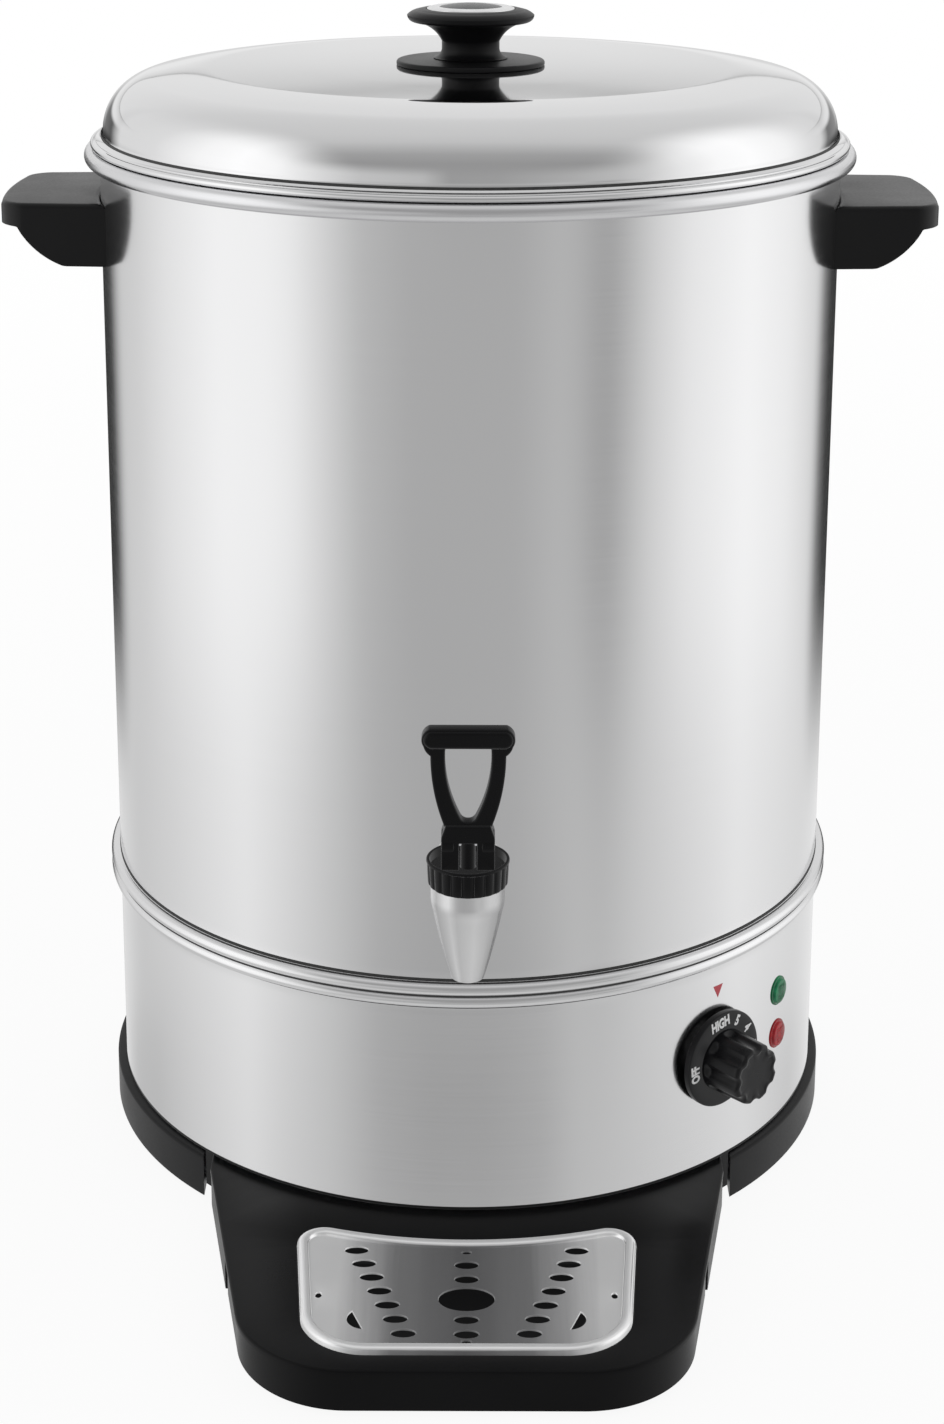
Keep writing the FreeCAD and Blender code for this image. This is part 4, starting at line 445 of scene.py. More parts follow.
def pressed_steel(name):
    """Pressed sheet: lines drawn front to back, and a painted reflection that is dull in the middle and
    bright at the sides and rim.
    """
    half_width, rim_low, rim_high = 0.068, 0.0243, 0.0253
    finish = Finish(name, Metallic=0.6)
    x, _, z = finish.axes(finish.place)
    lines = finish.grain(6, (14, 0.6, 1), 4, 0.6)
    # Painted reflection: brighter toward the sides and up on the rim, darker in the middle.
    sides = finish.between(finish.maths("ABSOLUTE", x), 0.0, 1.0, 0.0, half_width)
    rim = finish.between(z, 0.0, 1.0, rim_low, rim_high)
    both = finish.blend(finish.maths("MAXIMUM", sides, rim), lines, 0.2)
    finish.coloured(both, [(0.08, (0.17, 0.17, 0.174)), (0.45, (0.30, 0.30, 0.304)),
                           (0.62, (0.62, 0.62, 0.624)), (0.8, (0.96, 0.96, 0.962))])
    finish.rough(lines, 0.10, 0.18)
    finish.bump(lines, 0.002)
    return finish.material


# The spout's painted reflections, as bands of light and shade: how far round its axis from the front, in
# radians, and how bright.
SPOUT_PAINTED_REFLECTIONS = (
    (-1.40, 0.92), (-1.19, 0.88), (-0.95, 0.56), (-0.62, 0.70), (-0.50, 0.78), (-0.30, 0.64),
    (0.20, 0.75), (0.60, 0.66), (0.95, 0.50), (1.12, 0.30), (1.30, 0.34), (1.42, 0.85),
)


def plating_with_painted_reflections(name, axis_y):
    """Plating with painted reflections: lighter and darker bands, set by the turn round the spout's axis
    from the front, that run down the spout over a fine grain.
    """
    reach = 1.6
    finish = Finish(name, Metallic=1.0)
    x, y, _ = finish.axes(finish.place)
    turn = finish.maths("ARCTAN2", x, finish.maths("SUBTRACT", axis_y * MM, y))
    lines = finish.grain(5, (26, 26, 1.5), 6, 0.65)
    mixed = finish.blend(finish.between(turn, 0.0, 1.0, -reach, reach), lines, 0.04)
    # Painted reflections: the colour follows the turn round the spout from the front.
    stops = [((angle + reach) / reach / 2, (tone, tone, tone * 1.005)) for angle, tone in SPOUT_PAINTED_REFLECTIONS]
    finish.coloured(mixed, stops)
    finish.rough(lines, 0.14, 0.26)
    finish.bump(lines, 0.003)
    return finish.material


def moulded(name, tone, rough_low, rough_high, shine, grain=900, depth=0.012):
    """Moulded plastic: a fine leathery grain, with smoother and duller patches."""
    finish = Finish(name, IOR=1.5, Specular_IOR_Level=shine)
    fine = finish.grain(grain, (1, 1, 1), 3, 0.6)
    clouds = finish.grain(22, (1, 1, 1), 4)
    finish.colour(clouds, [channel * 0.82 for channel in tone], [channel * 1.2 for channel in tone])
    finish.rough(finish.blend(fine, clouds, 0.6), rough_low, rough_high)
    finish.bump(fine, depth)
    return finish.material


def lens_plastic(name, deep, bright):
    """Coloured plastic, a little clear, with deeper and brighter patches."""
    finish = Finish(name, IOR=1.45, Transmission_Weight=0.08, Specular_IOR_Level=0.2, Coat_Weight=0.1,
                    Coat_Roughness=0.05)
    clouds = finish.grain(260, (1, 1, 1), 2)
    finish.colour(clouds, deep, bright)
    finish.rough(clouds, 0.1, 0.2)
    finish.bump(finish.grain(700), 0.01)
    return finish.material


def speckled(name, low, high, metallic, rough_low, rough_high, scale=300, depth=0.02):
    """Castings, ceramic, rubber and wire covers: one tone with a speckle and a soft roughness."""
    finish = Finish(name, Metallic=metallic)
    speck = finish.grain(scale, (1, 1, 1), 5, 0.6)
    finish.colour(speck, low, high)
    finish.rough(speck, rough_low, rough_high)
    finish.bump(speck, depth)
    return finish.material


def mark_paint(name, low, high):
    """Printed marks: a dense ink with a trace of wear."""
    return speckled(name, low, high, 0.0, 0.45, 0.6, 500, 0.004)


finishes = {
    "jacket_steel": steel("jacket_satin_steel", (0.75, 0.75, 0.755), 0.13, 0.19),
    "tank_steel": steel("tank_inside_steel", (0.72, 0.72, 0.73), 0.18, 0.28),
    "plain_steel": steel("zinc_sheet", (0.60, 0.61, 0.63), 0.26, 0.42, (1, 1, 1), 0.006, 0.06),
    "polished_steel": steel("lid_polished_steel", (0.77, 0.77, 0.775), 0.035, 0.055, (2, 2, 40),
                            0.0002, 0.006),
    "grate_steel": pressed_steel("grate_pressed_steel"),
    "bright_plating": steel("tap_bright_plating", (0.80, 0.80, 0.805), 0.12, 0.24, (26, 26, 1.5),
                            0.003, 0.09),
    "screw_steel": steel("screw_zinc", (0.62, 0.63, 0.64), 0.22, 0.34, (8, 8, 8), 0.004, 0.05),
    "black_plastic": moulded("body_black_plastic", (0.006, 0.006, 0.0066), 0.30, 0.44, 0.16),
    "dial_plastic": moulded("dial_black_plastic", (0.006, 0.006, 0.007), 0.26, 0.40, 0.25),
    "tap_plastic": moulded("tap_black_plastic", (0.003, 0.003, 0.0035), 0.20, 0.32, 0.16),
    "dark_gloss": moulded("knob_cap_gloss", (0.05, 0.052, 0.056), 0.22, 0.32, 0.2, 500, 0.002),
    "green_lens": lens_plastic("green_lamp_lens", (0.0, 0.085, 0.03), (0.008, 0.25, 0.09)),
    "red_lens": lens_plastic("red_lamp_lens", (0.24, 0.002, 0.006), (0.50, 0.014, 0.020)),
    "foot_rubber": speckled("foot_rubber", (0.02, 0.02, 0.02), (0.045, 0.045, 0.045), 0.0, 0.65, 0.9),
    "silicone": speckled("washer_silicone", (0.70, 0.70, 0.68), (0.80, 0.80, 0.78), 0.0, 0.4, 0.55,
                         200, 0.01),
    "heater_aluminium": speckled("cast_aluminium", (0.58, 0.59, 0.60), (0.72, 0.73, 0.74), 1.0, 0.35, 0.55),
    "element_sheath": speckled("element_sheath", (0.22, 0.20, 0.19), (0.40, 0.36, 0.33), 1.0, 0.35, 0.6,
                               120),
    "white_ceramic": speckled("cutout_ceramic", (0.78, 0.77, 0.74), (0.88, 0.87, 0.84), 0.0, 0.5, 0.7),
    "cream_plastic": speckled("terminal_cream", (0.74, 0.70, 0.58), (0.84, 0.80, 0.69), 0.0, 0.4, 0.55),
    "copper_line": speckled("capillary_copper", (0.58, 0.30, 0.18), (0.76, 0.44, 0.29), 1.0, 0.25, 0.45),
    "nut_brass": speckled("nut_brass", (0.60, 0.47, 0.21), (0.74, 0.61, 0.31), 1.0, 0.25, 0.4),
    "lead_insulation": speckled("lead_cover", (0.50, 0.09, 0.05), (0.66, 0.15, 0.09), 0.0, 0.45, 0.65),
}
handle_plastic = moulded("handle_black_plastic", (0.005, 0.005, 0.0054), 0.28, 0.42, 0.22, 700, 0.02)
tray_plastic = moulded("tray_black_plastic", (0.0032, 0.0032, 0.0036), 0.26, 0.38, 0.12)
dial_ink = mark_paint("dial_white_ink", (0.95, 0.95, 0.95), (1.0, 1.0, 1.0))
# Painted shade: a dark finish for thin rings laid in the creases of rolled sheet, where shade falls.
crease_painted_shade = speckled("crease_painted_shade", (0.02, 0.02, 0.02), (0.05, 0.05, 0.05), 0.0, 0.5, 0.7)
pointer_ink = mark_paint("pointer_red_ink", (0.50, 0.05, 0.07), (0.62, 0.09, 0.11))


def dress(item, slot, body, nodes=(), material=None, mirrored=True):
    """Give a piece its finish, the body that it rides on and the solids that it stands for.
    A piece that isn't mirrored doesn't show in the steel."""
    item.visible_glossy = mirrored
    item.data.materials.clear()
    item.data.materials.append(material or finishes[slot])
    if nodes:
        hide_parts(*nodes)
    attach(item, body)
    return item


# Every solid that stays in view gets its own finish, in place of its plain colour. The tap's and the
# lever's don't show in the steel.
for part in frame["record"]["subparts"]:
    node = frame["nodes"][part["node"]]
    node.visible_glossy = not part["node"].startswith(("tap", "lever"))
    for material_slot in node.material_slots:
        material_slot.material = finishes[part["material_slot"]]


# Repeated pieces

def repeat_tree():
    """Copies of one small piece, stood on the points of a carrier mesh, each with its own turn."""
    tree = bpy.data.node_groups.new("repeat_on_points", "GeometryNodeTree")
    for name, way, kind in (("Geometry", "INPUT", "Geometry"), ("Small Piece", "INPUT", "Object"),
                            ("Size", "INPUT", "Float"), ("Finish", "INPUT", "Material"),
                            ("Geometry", "OUTPUT", "Geometry")):
        tree.interface.new_socket(name, in_out=way, socket_type="NodeSocket" + kind)
    nodes = tree.nodes
    inlet, outlet = nodes.new("NodeGroupInput"), nodes.new("NodeGroupOutput")
    piece = nodes.new("GeometryNodeObjectInfo")
    turn = nodes.new("GeometryNodeInputNamedAttribute")
    turn.data_type = "FLOAT_VECTOR"
    turn.inputs["Name"].default_value = "turn"
    stand = nodes.new("GeometryNodeInstanceOnPoints")
    real = nodes.new("GeometryNodeRealizeInstances")
    paint = nodes.new("GeometryNodeSetMaterial")
    for giver, gives, taker, takes in (
            (inlet, "Small Piece", piece, "Object"), (inlet, "Geometry", stand, "Points"),
            (piece, "Geometry", stand, "Instance"), (turn, "Attribute", stand, "Rotation"),
            (inlet, "Size", stand, "Scale"), (stand, "Instances", real, "Geometry"),
            (real, "Geometry", paint, "Geometry"), (inlet, "Finish", paint, "Material"),
            (paint, "Geometry", outlet, "Geometry")):
        tree.links.new(giver.outputs[gives], taker.inputs[takes])
    return tree


repeat_on_points = repeat_tree()


def repeated(name, small, places, slot, body, nodes, mirrored=True):
    """A piece made of copies of a small one. Each place is a matrix in millimetres."""
    mesh = bpy.data.meshes.new(name + "_places")
    mesh.from_pydata([place.translation * MM for place in places], [], [])
    turns = mesh.attributes.new("turn", "FLOAT_VECTOR", "POINT")
    for number, place in enumerate(places):
        turns.data[number].vector = place.to_euler("XYZ")
    carrier = linked(name + "_places", mesh)
    modifier = carrier.modifiers.new("repeat", "NODES")
    modifier.node_group = repeat_on_points
    sockets = {item.name: item.identifier for item in repeat_on_points.interface.items_tree
               if item.in_out == "INPUT"}
    modifier[sockets["Small Piece"]] = small
    modifier[sockets["Size"]] = 1.0
    modifier[sockets["Finish"]] = finishes[slot]
    plain = made_mesh(carrier)
    carrier.modifiers.remove(modifier)
    bpy.data.objects.remove(carrier)
    bpy.data.objects.remove(small)
    plain.name = name
    plain.set_sharp_from_angle(angle=math.radians(CRISP_ANGLE))
    return dress(linked(name, plain), slot, body, nodes, mirrored=mirrored)


def round_the_foot(radius, height, *turns):
    """Upright places on a circle about the urn's axis, at angles in degrees from the front."""
    return [Matrix.Translation(on_turn(radius, math.radians(turn), height)) for turn in turns]


# Steel shells

BEAD_R, BEAD_ROLL, BEAD_FILLET = 181.725, 2.875, 0.7


def outer_shell():
    """Satin jacket, rolled out into a bead along its foot."""
    bead_top, top = SEAM_Z + 2 * BEAD_ROLL, RIM_Z - 1
    return turned("tank_jacket", section([
        (BEAD_R, SEAM_Z), (BEAD_R, bead_top, BEAD_ROLL, 1), (SHELL_R + BEAD_FILLET, bead_top),
        (SHELL_R, bead_top + BEAD_FILLET, BEAD_FILLET, -1), (SHELL_R, top), (SHELL_IN, top),
        (SHELL_IN, SEAM_Z),
    ], 0.8), 288)


def lower_shell():
    """Skirt round the controls, with its own bead under the jacket's."""
    gap, inward, bead_under = 0.02, 171.2, SEAM_Z - 2 * BEAD_ROLL
    return turned("lower_skirt", section([
        (SHELL_IN, SHELL_FOOT), (SHELL_R, SHELL_FOOT), (SHELL_R, bead_under - BEAD_FILLET),
        (SHELL_R + BEAD_FILLET, bead_under, BEAD_FILLET, -1), (BEAD_R, bead_under),
        (BEAD_R, SEAM_Z - gap, BEAD_ROLL - gap / 2, 1), (inward, SEAM_Z - gap), (inward, SEAM_Z - SHEET),
        (SHELL_IN, SEAM_Z - SHEET),
    ], 0.8), 288)


def inner_tank():
    """Tank with a rounded foot corner and its top edge curled out as the rim bead."""
    floor, corner, curl, curl_in, roll = 150.0, 12.0, 183.3, 180.3, 4.0
    flat, wall, curl_under = TANK_R - corner, TANK_R - SHEET, RIM_Z - 2 * roll
    return turned("water_tank", section([
        (0, floor), (flat, floor), (TANK_R, floor + corner, corner, 1), (TANK_R, RIM_Z - SHEET),
        (curl, RIM_Z - SHEET), (curl, curl_under + SHEET, roll - SHEET, -1), (curl_in, curl_under + SHEET),
        (curl_in, curl_under), (curl, curl_under), (curl, RIM_Z, roll, 1), (TANK_R, RIM_Z),
        (wall, RIM_Z - SHEET, SHEET, 1), (wall, floor + corner), (flat, floor + SHEET, corner - SHEET, -1),
        (0, floor + SHEET),
    ], 0.8), 256)


def lid_shell():
    """Domed lid: a nearly flat top, a round shoulder, an upright wall and a rolled bead."""
    hole, dome, flat_r, shoulder_r, wall = 2.6, 13455.0, 125.68, 156.87, 178.0
    flat_z, shoulder_z, wall_top, foot = LID_TOP - 0.59, LID_TOP - 3.87, RIM_Z + 7.13, RIM_Z + 0.3
    return turned("lid_dome", section([
        (hole, LID_TOP - SHEET), (flat_r - 0.1, flat_z - SHEET, dome, -1),
        (shoulder_r - 0.17, shoulder_z - 0.78, 149.2, -1), (wall - SHEET, wall_top, 25.8, -1),
        (wall - SHEET, foot), (182.7, foot), (182.7, foot + 3, 1.5, 1), (181.9, foot + 3),
        (181.4, foot + 3.5, 0.5, -1), (wall, foot + 6.5, 4.6, -1), (wall, wall_top),
        (shoulder_r, shoulder_z, 26.6, 1), (flat_r, flat_z, 150, 1), (hole, LID_TOP, dome, 1),
    ], 1.0), 320, sharp=50)


def lid_skirt():
    """Ring inside the lid that keeps it in the middle of the tank."""
    inside, outside, foot, shelf = 172.6, 173.4, 488.4, RIM_Z + 1.8
    return turned("lid_inner_ring", section([
        (inside, foot), (173.0, foot - 0.4, 0.4, 1), (outside, foot, 0.4, 1), (outside, shelf),
        (177.1, shelf), (177.1, shelf + SHEET), (inside, shelf + SHEET),
    ], 0.8), 200)


dress(outer_shell(), "jacket_steel", "vessel", ["outer_shell"])
dress(lower_shell(), "jacket_steel", "vessel", ["lower_shell"])
dress(inner_tank(), "tank_steel", "vessel", ["inner_tank"])
dress(lid_shell(), "polished_steel", "lid", ["lid_shell"])
dress(lid_skirt(), "polished_steel", "lid", ["lid_skirt"])


def crease(name, radius, low, high, body):
    """A thin dark ring of painted shade in the crease where two rolled edges of sheet meet."""
    deep = radius - 0.2
    ring = turned(name, section([(deep, low), (radius, low), (radius, high), (deep, high)]))
    return dress(ring, "jacket_steel", body, material=crease_painted_shade)


# Painted shade in the creases at the beads and at the lid's rim.
crease("jacket_crease", SHELL_R + 0.25, SEAM_Z + 5.9, SEAM_Z + 7.3, "vessel")
crease("skirt_crease", SHELL_R + 0.15, SEAM_Z - 7.3, SEAM_Z - 6.2, "vessel")
crease("seam_crease", 183.2, SEAM_Z - 0.5, SEAM_Z + 0.5, "vessel")
crease("lid_crease", 179.1, RIM_Z + 4.2, RIM_Z + 6.4, "lid")


# Lid knob

def lid_knob_pieces():
    """A flat disc, a waisted knob, and a bright ring round a dark cap in the knob's top."""
    hole, disc, seat, top = 2.6, 36.0, 561.5, 566.5
    base = turned("knob_foot_disc", section([
        (hole, LID_TOP), (disc - 0.6, LID_TOP), (disc, LID_TOP + 0.6, 0.6, 1), (disc, LID_TOP + 1.3),
        (34.9, LID_TOP + 2.45, 1.3, 1), (18, LID_TOP + 3), (hole, LID_TOP + 3),
    ], 0.4), 160)
    knob = turned("knob_head", section([
        (0, 558.5), (2.42, 558.5), (2.42, 540), (17.6, 540), (18, 540.4, 0.4, 1), (14, 544.6, 5, -1),
        (14, 548.4), (27.4, 557.7, 16.5, -1), (30.8, 561, 3.4, 1), (26, 563.4, 8, 1), (22.2, 564.1, 14, 1),
        (21.6, 563.6, 0.6, 1), (21.42, seat), (0, seat),
    ], 0.4), 160)
    ring = turned("knob_bright_ring", section([
        (15.1, seat), (21.3, seat), (21.3, 563.8), (20.6, 564.5, 0.7, 1), (16.2, 565.1, 9, 1),
        (15.1, 564.7, 1.0, 1),
    ], 0.3), 144)
    cap = turned("knob_dark_cap", section([
        (0, seat), (15, seat), (15, 564.4), (14.4, 565.0, 0.6, 1), (0, top, 70, 1),
    ], 0.4), 128)
    dress(base, "black_plastic", "lid", ["knob_base"])
    dress(knob, "black_plastic", "lid", ["lid_knob"])
    dress(ring, "bright_plating", "lid", ["knob_ring"])
    dress(cap, "dark_gloss", "lid", ["knob_cap"])


lid_knob_pieces()


# Carrying handles

def handle_under(x):
    """The height of a handle's underside: a deep root, a round sweep up, and a thin lip."""
    root_end, sweep_end = 193.5, 215.5
    centre_x, centre_z, sweep = 180.3, 483.8, 40.0
    if x < root_end:
        return 446.0
    if x < sweep_end:
        return centre_z - math.sqrt(sweep ** 2 - (x - centre_x) ** 2)
    return 464.7 + 0.06 * (x - sweep_end)


def handle(name, side):
    """A hollow moulded handle, open underneath, its root against the jacket."""
    reach, top, wall, edge = 227.0, 476.0, 3.0, 2.7
    turn, side_x, half, corner = math.radians(8.3), 213.0, 47.7, 15.0
    near, far = (172.9, 50.1), (reach * math.cos(turn), reach * math.sin(turn))
    plan = walk([
        (side_x, -half), (far[0], -far[1], corner, 1), (*far, reach, 1), (side_x, half, corner, 1),
        near, (near[0], -near[1], SHELL_R + 0.3, -1),
    ], 0.35)
    loops = []
    for inset, height in [(wall, top - 3), (wall, None), *soft_top(None, top, edge, 6)]:
        loops.append([(side * p.x, p.y, handle_under(p.x) if height is None else height)
                      for p in moved_in(plan, inset)])
    shape = bmesh.new()
    rows = loft(shape, loops)
    filled(shape, rows[0])
    filled(shape, rows[-1])
    for across in (-6.0, 6.0):
        boss = Matrix.Translation((side * 192.0, across, 0))
        turn_section(shape, section([(1.4, 463), (3.6, 463), (3.6, 473.2), (1.4, 473.2)]), 32, boss)
    return build(name, shape)


for label, side in (("left", -1), ("right", 1)):
    dress(handle("carry_handle_" + label, side), "black_plastic", "vessel", ["handle_" + label],
          handle_plastic)


# Base

def cut_turn(name, outline, near, far=None, steps=200):
    """A closed section turned from one upright plane, near millimetres to the right of the axis, to
    another. Without far it goes round behind to the same plane on the left. With far it stops at
    that plane, and the left side has its mirror image."""
    shape = bmesh.new()
    sides = (1,) if far is None else (1, -1)
    for side in sides:
        loops = []
        for number in range(steps + 1):
            loop = []
            for radius, height in outline:
                start = math.asin(near / radius)
                stop = TURN - start if far is None else math.asin(far / radius)
                loop.append(on_turn(radius, side * (start + (stop - start) * number / steps), height))
            loops.append(loop)
        capped_loft(shape, loops)
    return build(name, shape)


def base_ring():
    """Black moulding under the steel: apron, seat, spigot and the two guides for the tray."""
    wall, inside, spigot, cut, cheek = 176.5, 174.0, 179.0, 127.6, 130.1
    inner = turned("base_inner", section([
        (inside, FLOOR_Z), (wall, FLOOR_Z), (wall, BASE_TOP), (179.6, BASE_TOP), (SHELL_R, 24.4, 0.4, 1),
        (SHELL_R, SHELL_FOOT), (spigot, SHELL_FOOT), (spigot, 37.5), (178.5, 38, 0.5, 1), (wall, 38),
        (wall, 25.5), (inside, 25.5), (inside, 7.2), (160, 7.2), (160, 4.2), (inside, 4.2),
    ], 0.8), 240)
    front = [(184.1, FLOOR_Z), (184.5, 3.4, 0.4, 1), (184.5, 22.5), (183, BASE_TOP, 1.5, 1),
             (176.4, BASE_TOP)]
    apron = section([(182, FLOOR_Z), *front, (176.4, 21.5), (182, 21.5)], 0.4)
    ends = section([(176.4, FLOOR_Z), *front], 0.4)
    pieces = [inner, cut_turn("base_apron", apron, cut), cut_turn("base_apron_ends", ends, cut, cheek, 4)]
    for side in (1, -1):
        plan = [(side * x, y) for x, y in ((120.7, -126.7), (120.7, -141.6), (107.65, -212.5),
                                           (110.15, -212.5), (123.2, -141.6), (123.2, -124.3))]
        pieces.append(slab("tray_guide", [walk(plan[::side], 4)], FLOOR_Z, 20.2, 0.4))
    return joined("base_moulding", *pieces)


dress(base_ring(), "black_plastic", "vessel", ["base_ring"], mirrored=False)


def cross_screw(name, head, thick, shank, length):
    """A pan-head screw, its cross recess downward, its shank upward from the head's seat at 0."""
    rim = [(head * math.cos(TURN * n / 32), head * math.sin(TURN * n / 32)) for n in range(32)]
    reach, arm = head * 0.55, head * 0.13
    cross = [(arm, arm), (arm, reach), (-arm, reach), (-arm, arm), (-reach, arm), (-reach, -arm),
             (-arm, -arm), (-arm, -reach), (arm, -reach), (arm, -arm), (reach, -arm), (reach, arm)]
    cap = slab("cap", [rim, cross[::-1]], -thick, -thick * 0.35, 0.12)
    seat = turned("seat", section([(0, -thick * 0.4), (head - 0.05, -thick * 0.4), (head - 0.05, 0),
                                   (shank, 0), (shank, length - 1), (0, length)], 0.8), 24)
    return joined(name, cap, seat)


repeated("base_screw_set", cross_screw("one_screw", 3.8, 2.0, 2.0, 38.8),
         round_the_foot(168.8, FLOOR_Z, 55, 125, 235, 305), "screw_steel", "vessel", ["base_screws"])

one_foot = turned("one_foot", section([
    (0, 0.8), (4, 0.8), (5, 0), (11.2, 0), (12, 0.8, 0.8, 1), (12, 2.6), (11.6, 3, 0.4, 1), (4.8, 3),
    (4.8, 4.2), (6.72, 4.2), (6.2, 5.6), (5.2, 6.2, 1.2, 1), (0, 6.2),
], 0.3), 48)
repeated("foot_set", one_foot, round_the_foot(150.0, 0, 50, 130, 230, 310), "foot_rubber", "vessel",
         ["rubber_feet"])


# Drip tray

# The deck's shoulder on the right and its square front corner, before that is rounded.
DECK_SHOULDER = (123.5, -141.6)
DECK_FRONT = (93.6, -304.0)


def round_front(back, front, radius):
    """The steps round the two front corners, from the left side's back end to the right's."""
    left_back, left_front = (-back[0], back[1]), (-front[0], front[1])
    return [*rounded_corner(left_back, left_front, front, radius),
            *rounded_corner(left_front, front, back, radius)]


def tray_deck_outline():
    """A curved back, shoulders, and sides that close in to a round-cornered front."""
    back = 177.3
    half, shoulder = DECK_SHOULDER
    start = -math.sqrt(back * back - half * half)
    return walk([(-half, start, back, -1), (-half, shoulder), *round_front(DECK_SHOULDER, DECK_FRONT, 52.0),
                 DECK_SHOULDER, (half, start)], 2.0)


def tray_skirt_outline():
    """The deck's front part, 1 mm further in, from a straight back edge."""
    rear, front = -217.0, (92.78, -303.0)
    slope = (DECK_SHOULDER[0] - DECK_FRONT[0]) / (DECK_SHOULDER[1] - DECK_FRONT[1])
    half = DECK_SHOULDER[0] - slope * (DECK_SHOULDER[1] - rear) - 1.0
    return walk([(-half, rear), *round_front((half, rear), front, 51.0), (half, rear)], 2.0)


def grate_outline(grow=0.0):
    """The grate from above: a hollow back edge about the tank's axis, sides that close in a
    little, and four round corners."""
    plain_back, plain_front = 207.0, 292.0
    back, front = plain_back - grow, plain_front + grow
    half, front_half = 77.5 + grow, 70.2 + grow
    back_corner, front_corner = 12.0 + grow, 30.0 + grow
    way = Vector((front_half - half, plain_back - plain_front)).normalized()
    out = Vector((-way.y, way.x))
    offset = out.x * half - out.y * plain_back - back_corner
    reach = back + back_corner
    centre = out * offset + way * math.sqrt(reach * reach - offset * offset)
    side = centre + out * back_corner
    edge = centre * (back / reach)
    return walk([(edge.x, edge.y, back_corner, 1), (-edge.x, edge.y, back, -1),
                 (-side.x, side.y, back_corner, 1),
                 *round_front((side.x, side.y), (front_half, -front), front_corner), (side.x, side.y)], 1.4)


def drip_tray():
    """Deck with a recess for the grate, a skirt round the front, and a well under the grate."""
    under, top, recess, floor, soft, lip = 20.5, 23.0, 21.5, 6.5, 0.5, 5.3
    shape = bmesh.new()
    swept(shape, tray_deck_outline(), soft_top(under, top, 1.25),
          [grate_outline(0.4)[::-1]], soft_top(under, top, 0.35, 3))
    skirt = [(0, FLOOR_Z + 0.3), (0, under + 0.1), (2.5, under + 0.1), (2.5, FLOOR_Z), (0.3, FLOOR_Z)]
    loft(shape, rim_loops(tray_skirt_outline(), skirt), closed_stack=True)
    swept(shape, grate_outline(), [
        (3.3, 4.5), (3.3, under), (-1.2, under), (-1.2, recess), (lip, recess),
        *[(lip + soft * math.sin(a), recess - soft + soft * math.cos(a)) for a in (0.52, 1.05, 1.57)],
        (5.8, floor + 1.5), (6.24, floor + 0.44), (7.3, floor),
    ])
    return build("drip_tray_body", shape)


dress(drip_tray(), "black_plastic", "tray", ["drip_tray"], tray_plastic, mirrored=False)


HOLE_PITCH = 10.7
HOLE_SIZE = (11.0, 6.2)
DRAIN_Y = -252.4


def oval(x, y, length, width, count=28):
    """An oval hole, going round to the right."""
    angles = [TURN * number / count for number in range(count)]
    return [Vector((x + length / 2 * math.cos(a), y - width / 2 * math.sin(a))) for a in angles]


def half_moon(side):
    """A hole near a front corner: straight inside, round outside. It goes round to the right."""
    x, y = 50.0 * side, DRAIN_Y - HOLE_PITCH * 0.85
    low = (x - 5.0 * side, y - HOLE_PITCH * 1.26)
    return walk([low, (x, y, HOLE_PITCH * 0.75, side)], 0.6)[::-side]


def grate_holes():
    """Two slanted rows and a middle row of ovals, the drain, two half moons, four small notches."""
    holes = []
    for number in range(7):
        for side in (1, -1):
            holes.append(oval((50.0 - 3.8 * number) * side, -(213.8 + HOLE_PITCH * number), *HOLE_SIZE))
    for step in (-2.5, -1.45, 1.45, 2.45):
        holes.append(oval(0, DRAIN_Y - HOLE_PITCH * step, *HOLE_SIZE))
    holes.append(oval(0, DRAIN_Y, 25.0, 18.0, 48))
    for x, y, length, width in ((65.4, -249.4, 3.0, 4.6), (-65.4, -249.4, 3.0, 4.6), (0, -215.6, 4.6, 2.6),
                                (0, -284.0, 4.6, 2.4)):
        holes.append(oval(x, y, length, width, 16))
    return holes + [half_moon(1), half_moon(-1)]


def drip_grate():
    """Pressed steel grate: a rounded rim, a dished panel with drain holes, and an open underside."""
    foot, under, panel, top = 21.5, 23.2, 24.0, 26.0
    soft, inside = 1.8, 5.0
    rim = [(1.2, under), (1.2, foot), *soft_top(foot, top, soft, 6),
           *quarter((inside, top - soft), (inside - soft, top), 6)[::-1], (inside, top - soft),
           (inside + 0.3, panel + 0.06), (inside + 0.8, panel)]
    shape = bmesh.new()
    swept(shape, grate_outline(), rim, grate_holes(), soft_top(under, panel, 0.2, 2))
    return build("grate_panel", shape, 20)


dress(drip_grate(), "grate_steel", "grate", ["drip_grate"], mirrored=False)


# Tap

TAP_PLACE = Matrix.Translation((0, TAP_Y, 0))
TAP_FRONT = TAP_PLACE @ Matrix.Rotation(math.pi / 2, 4, "X")
NUT_FOOT = 217.5
PIVOT_Z = 236.0
NECK_R = 14.3


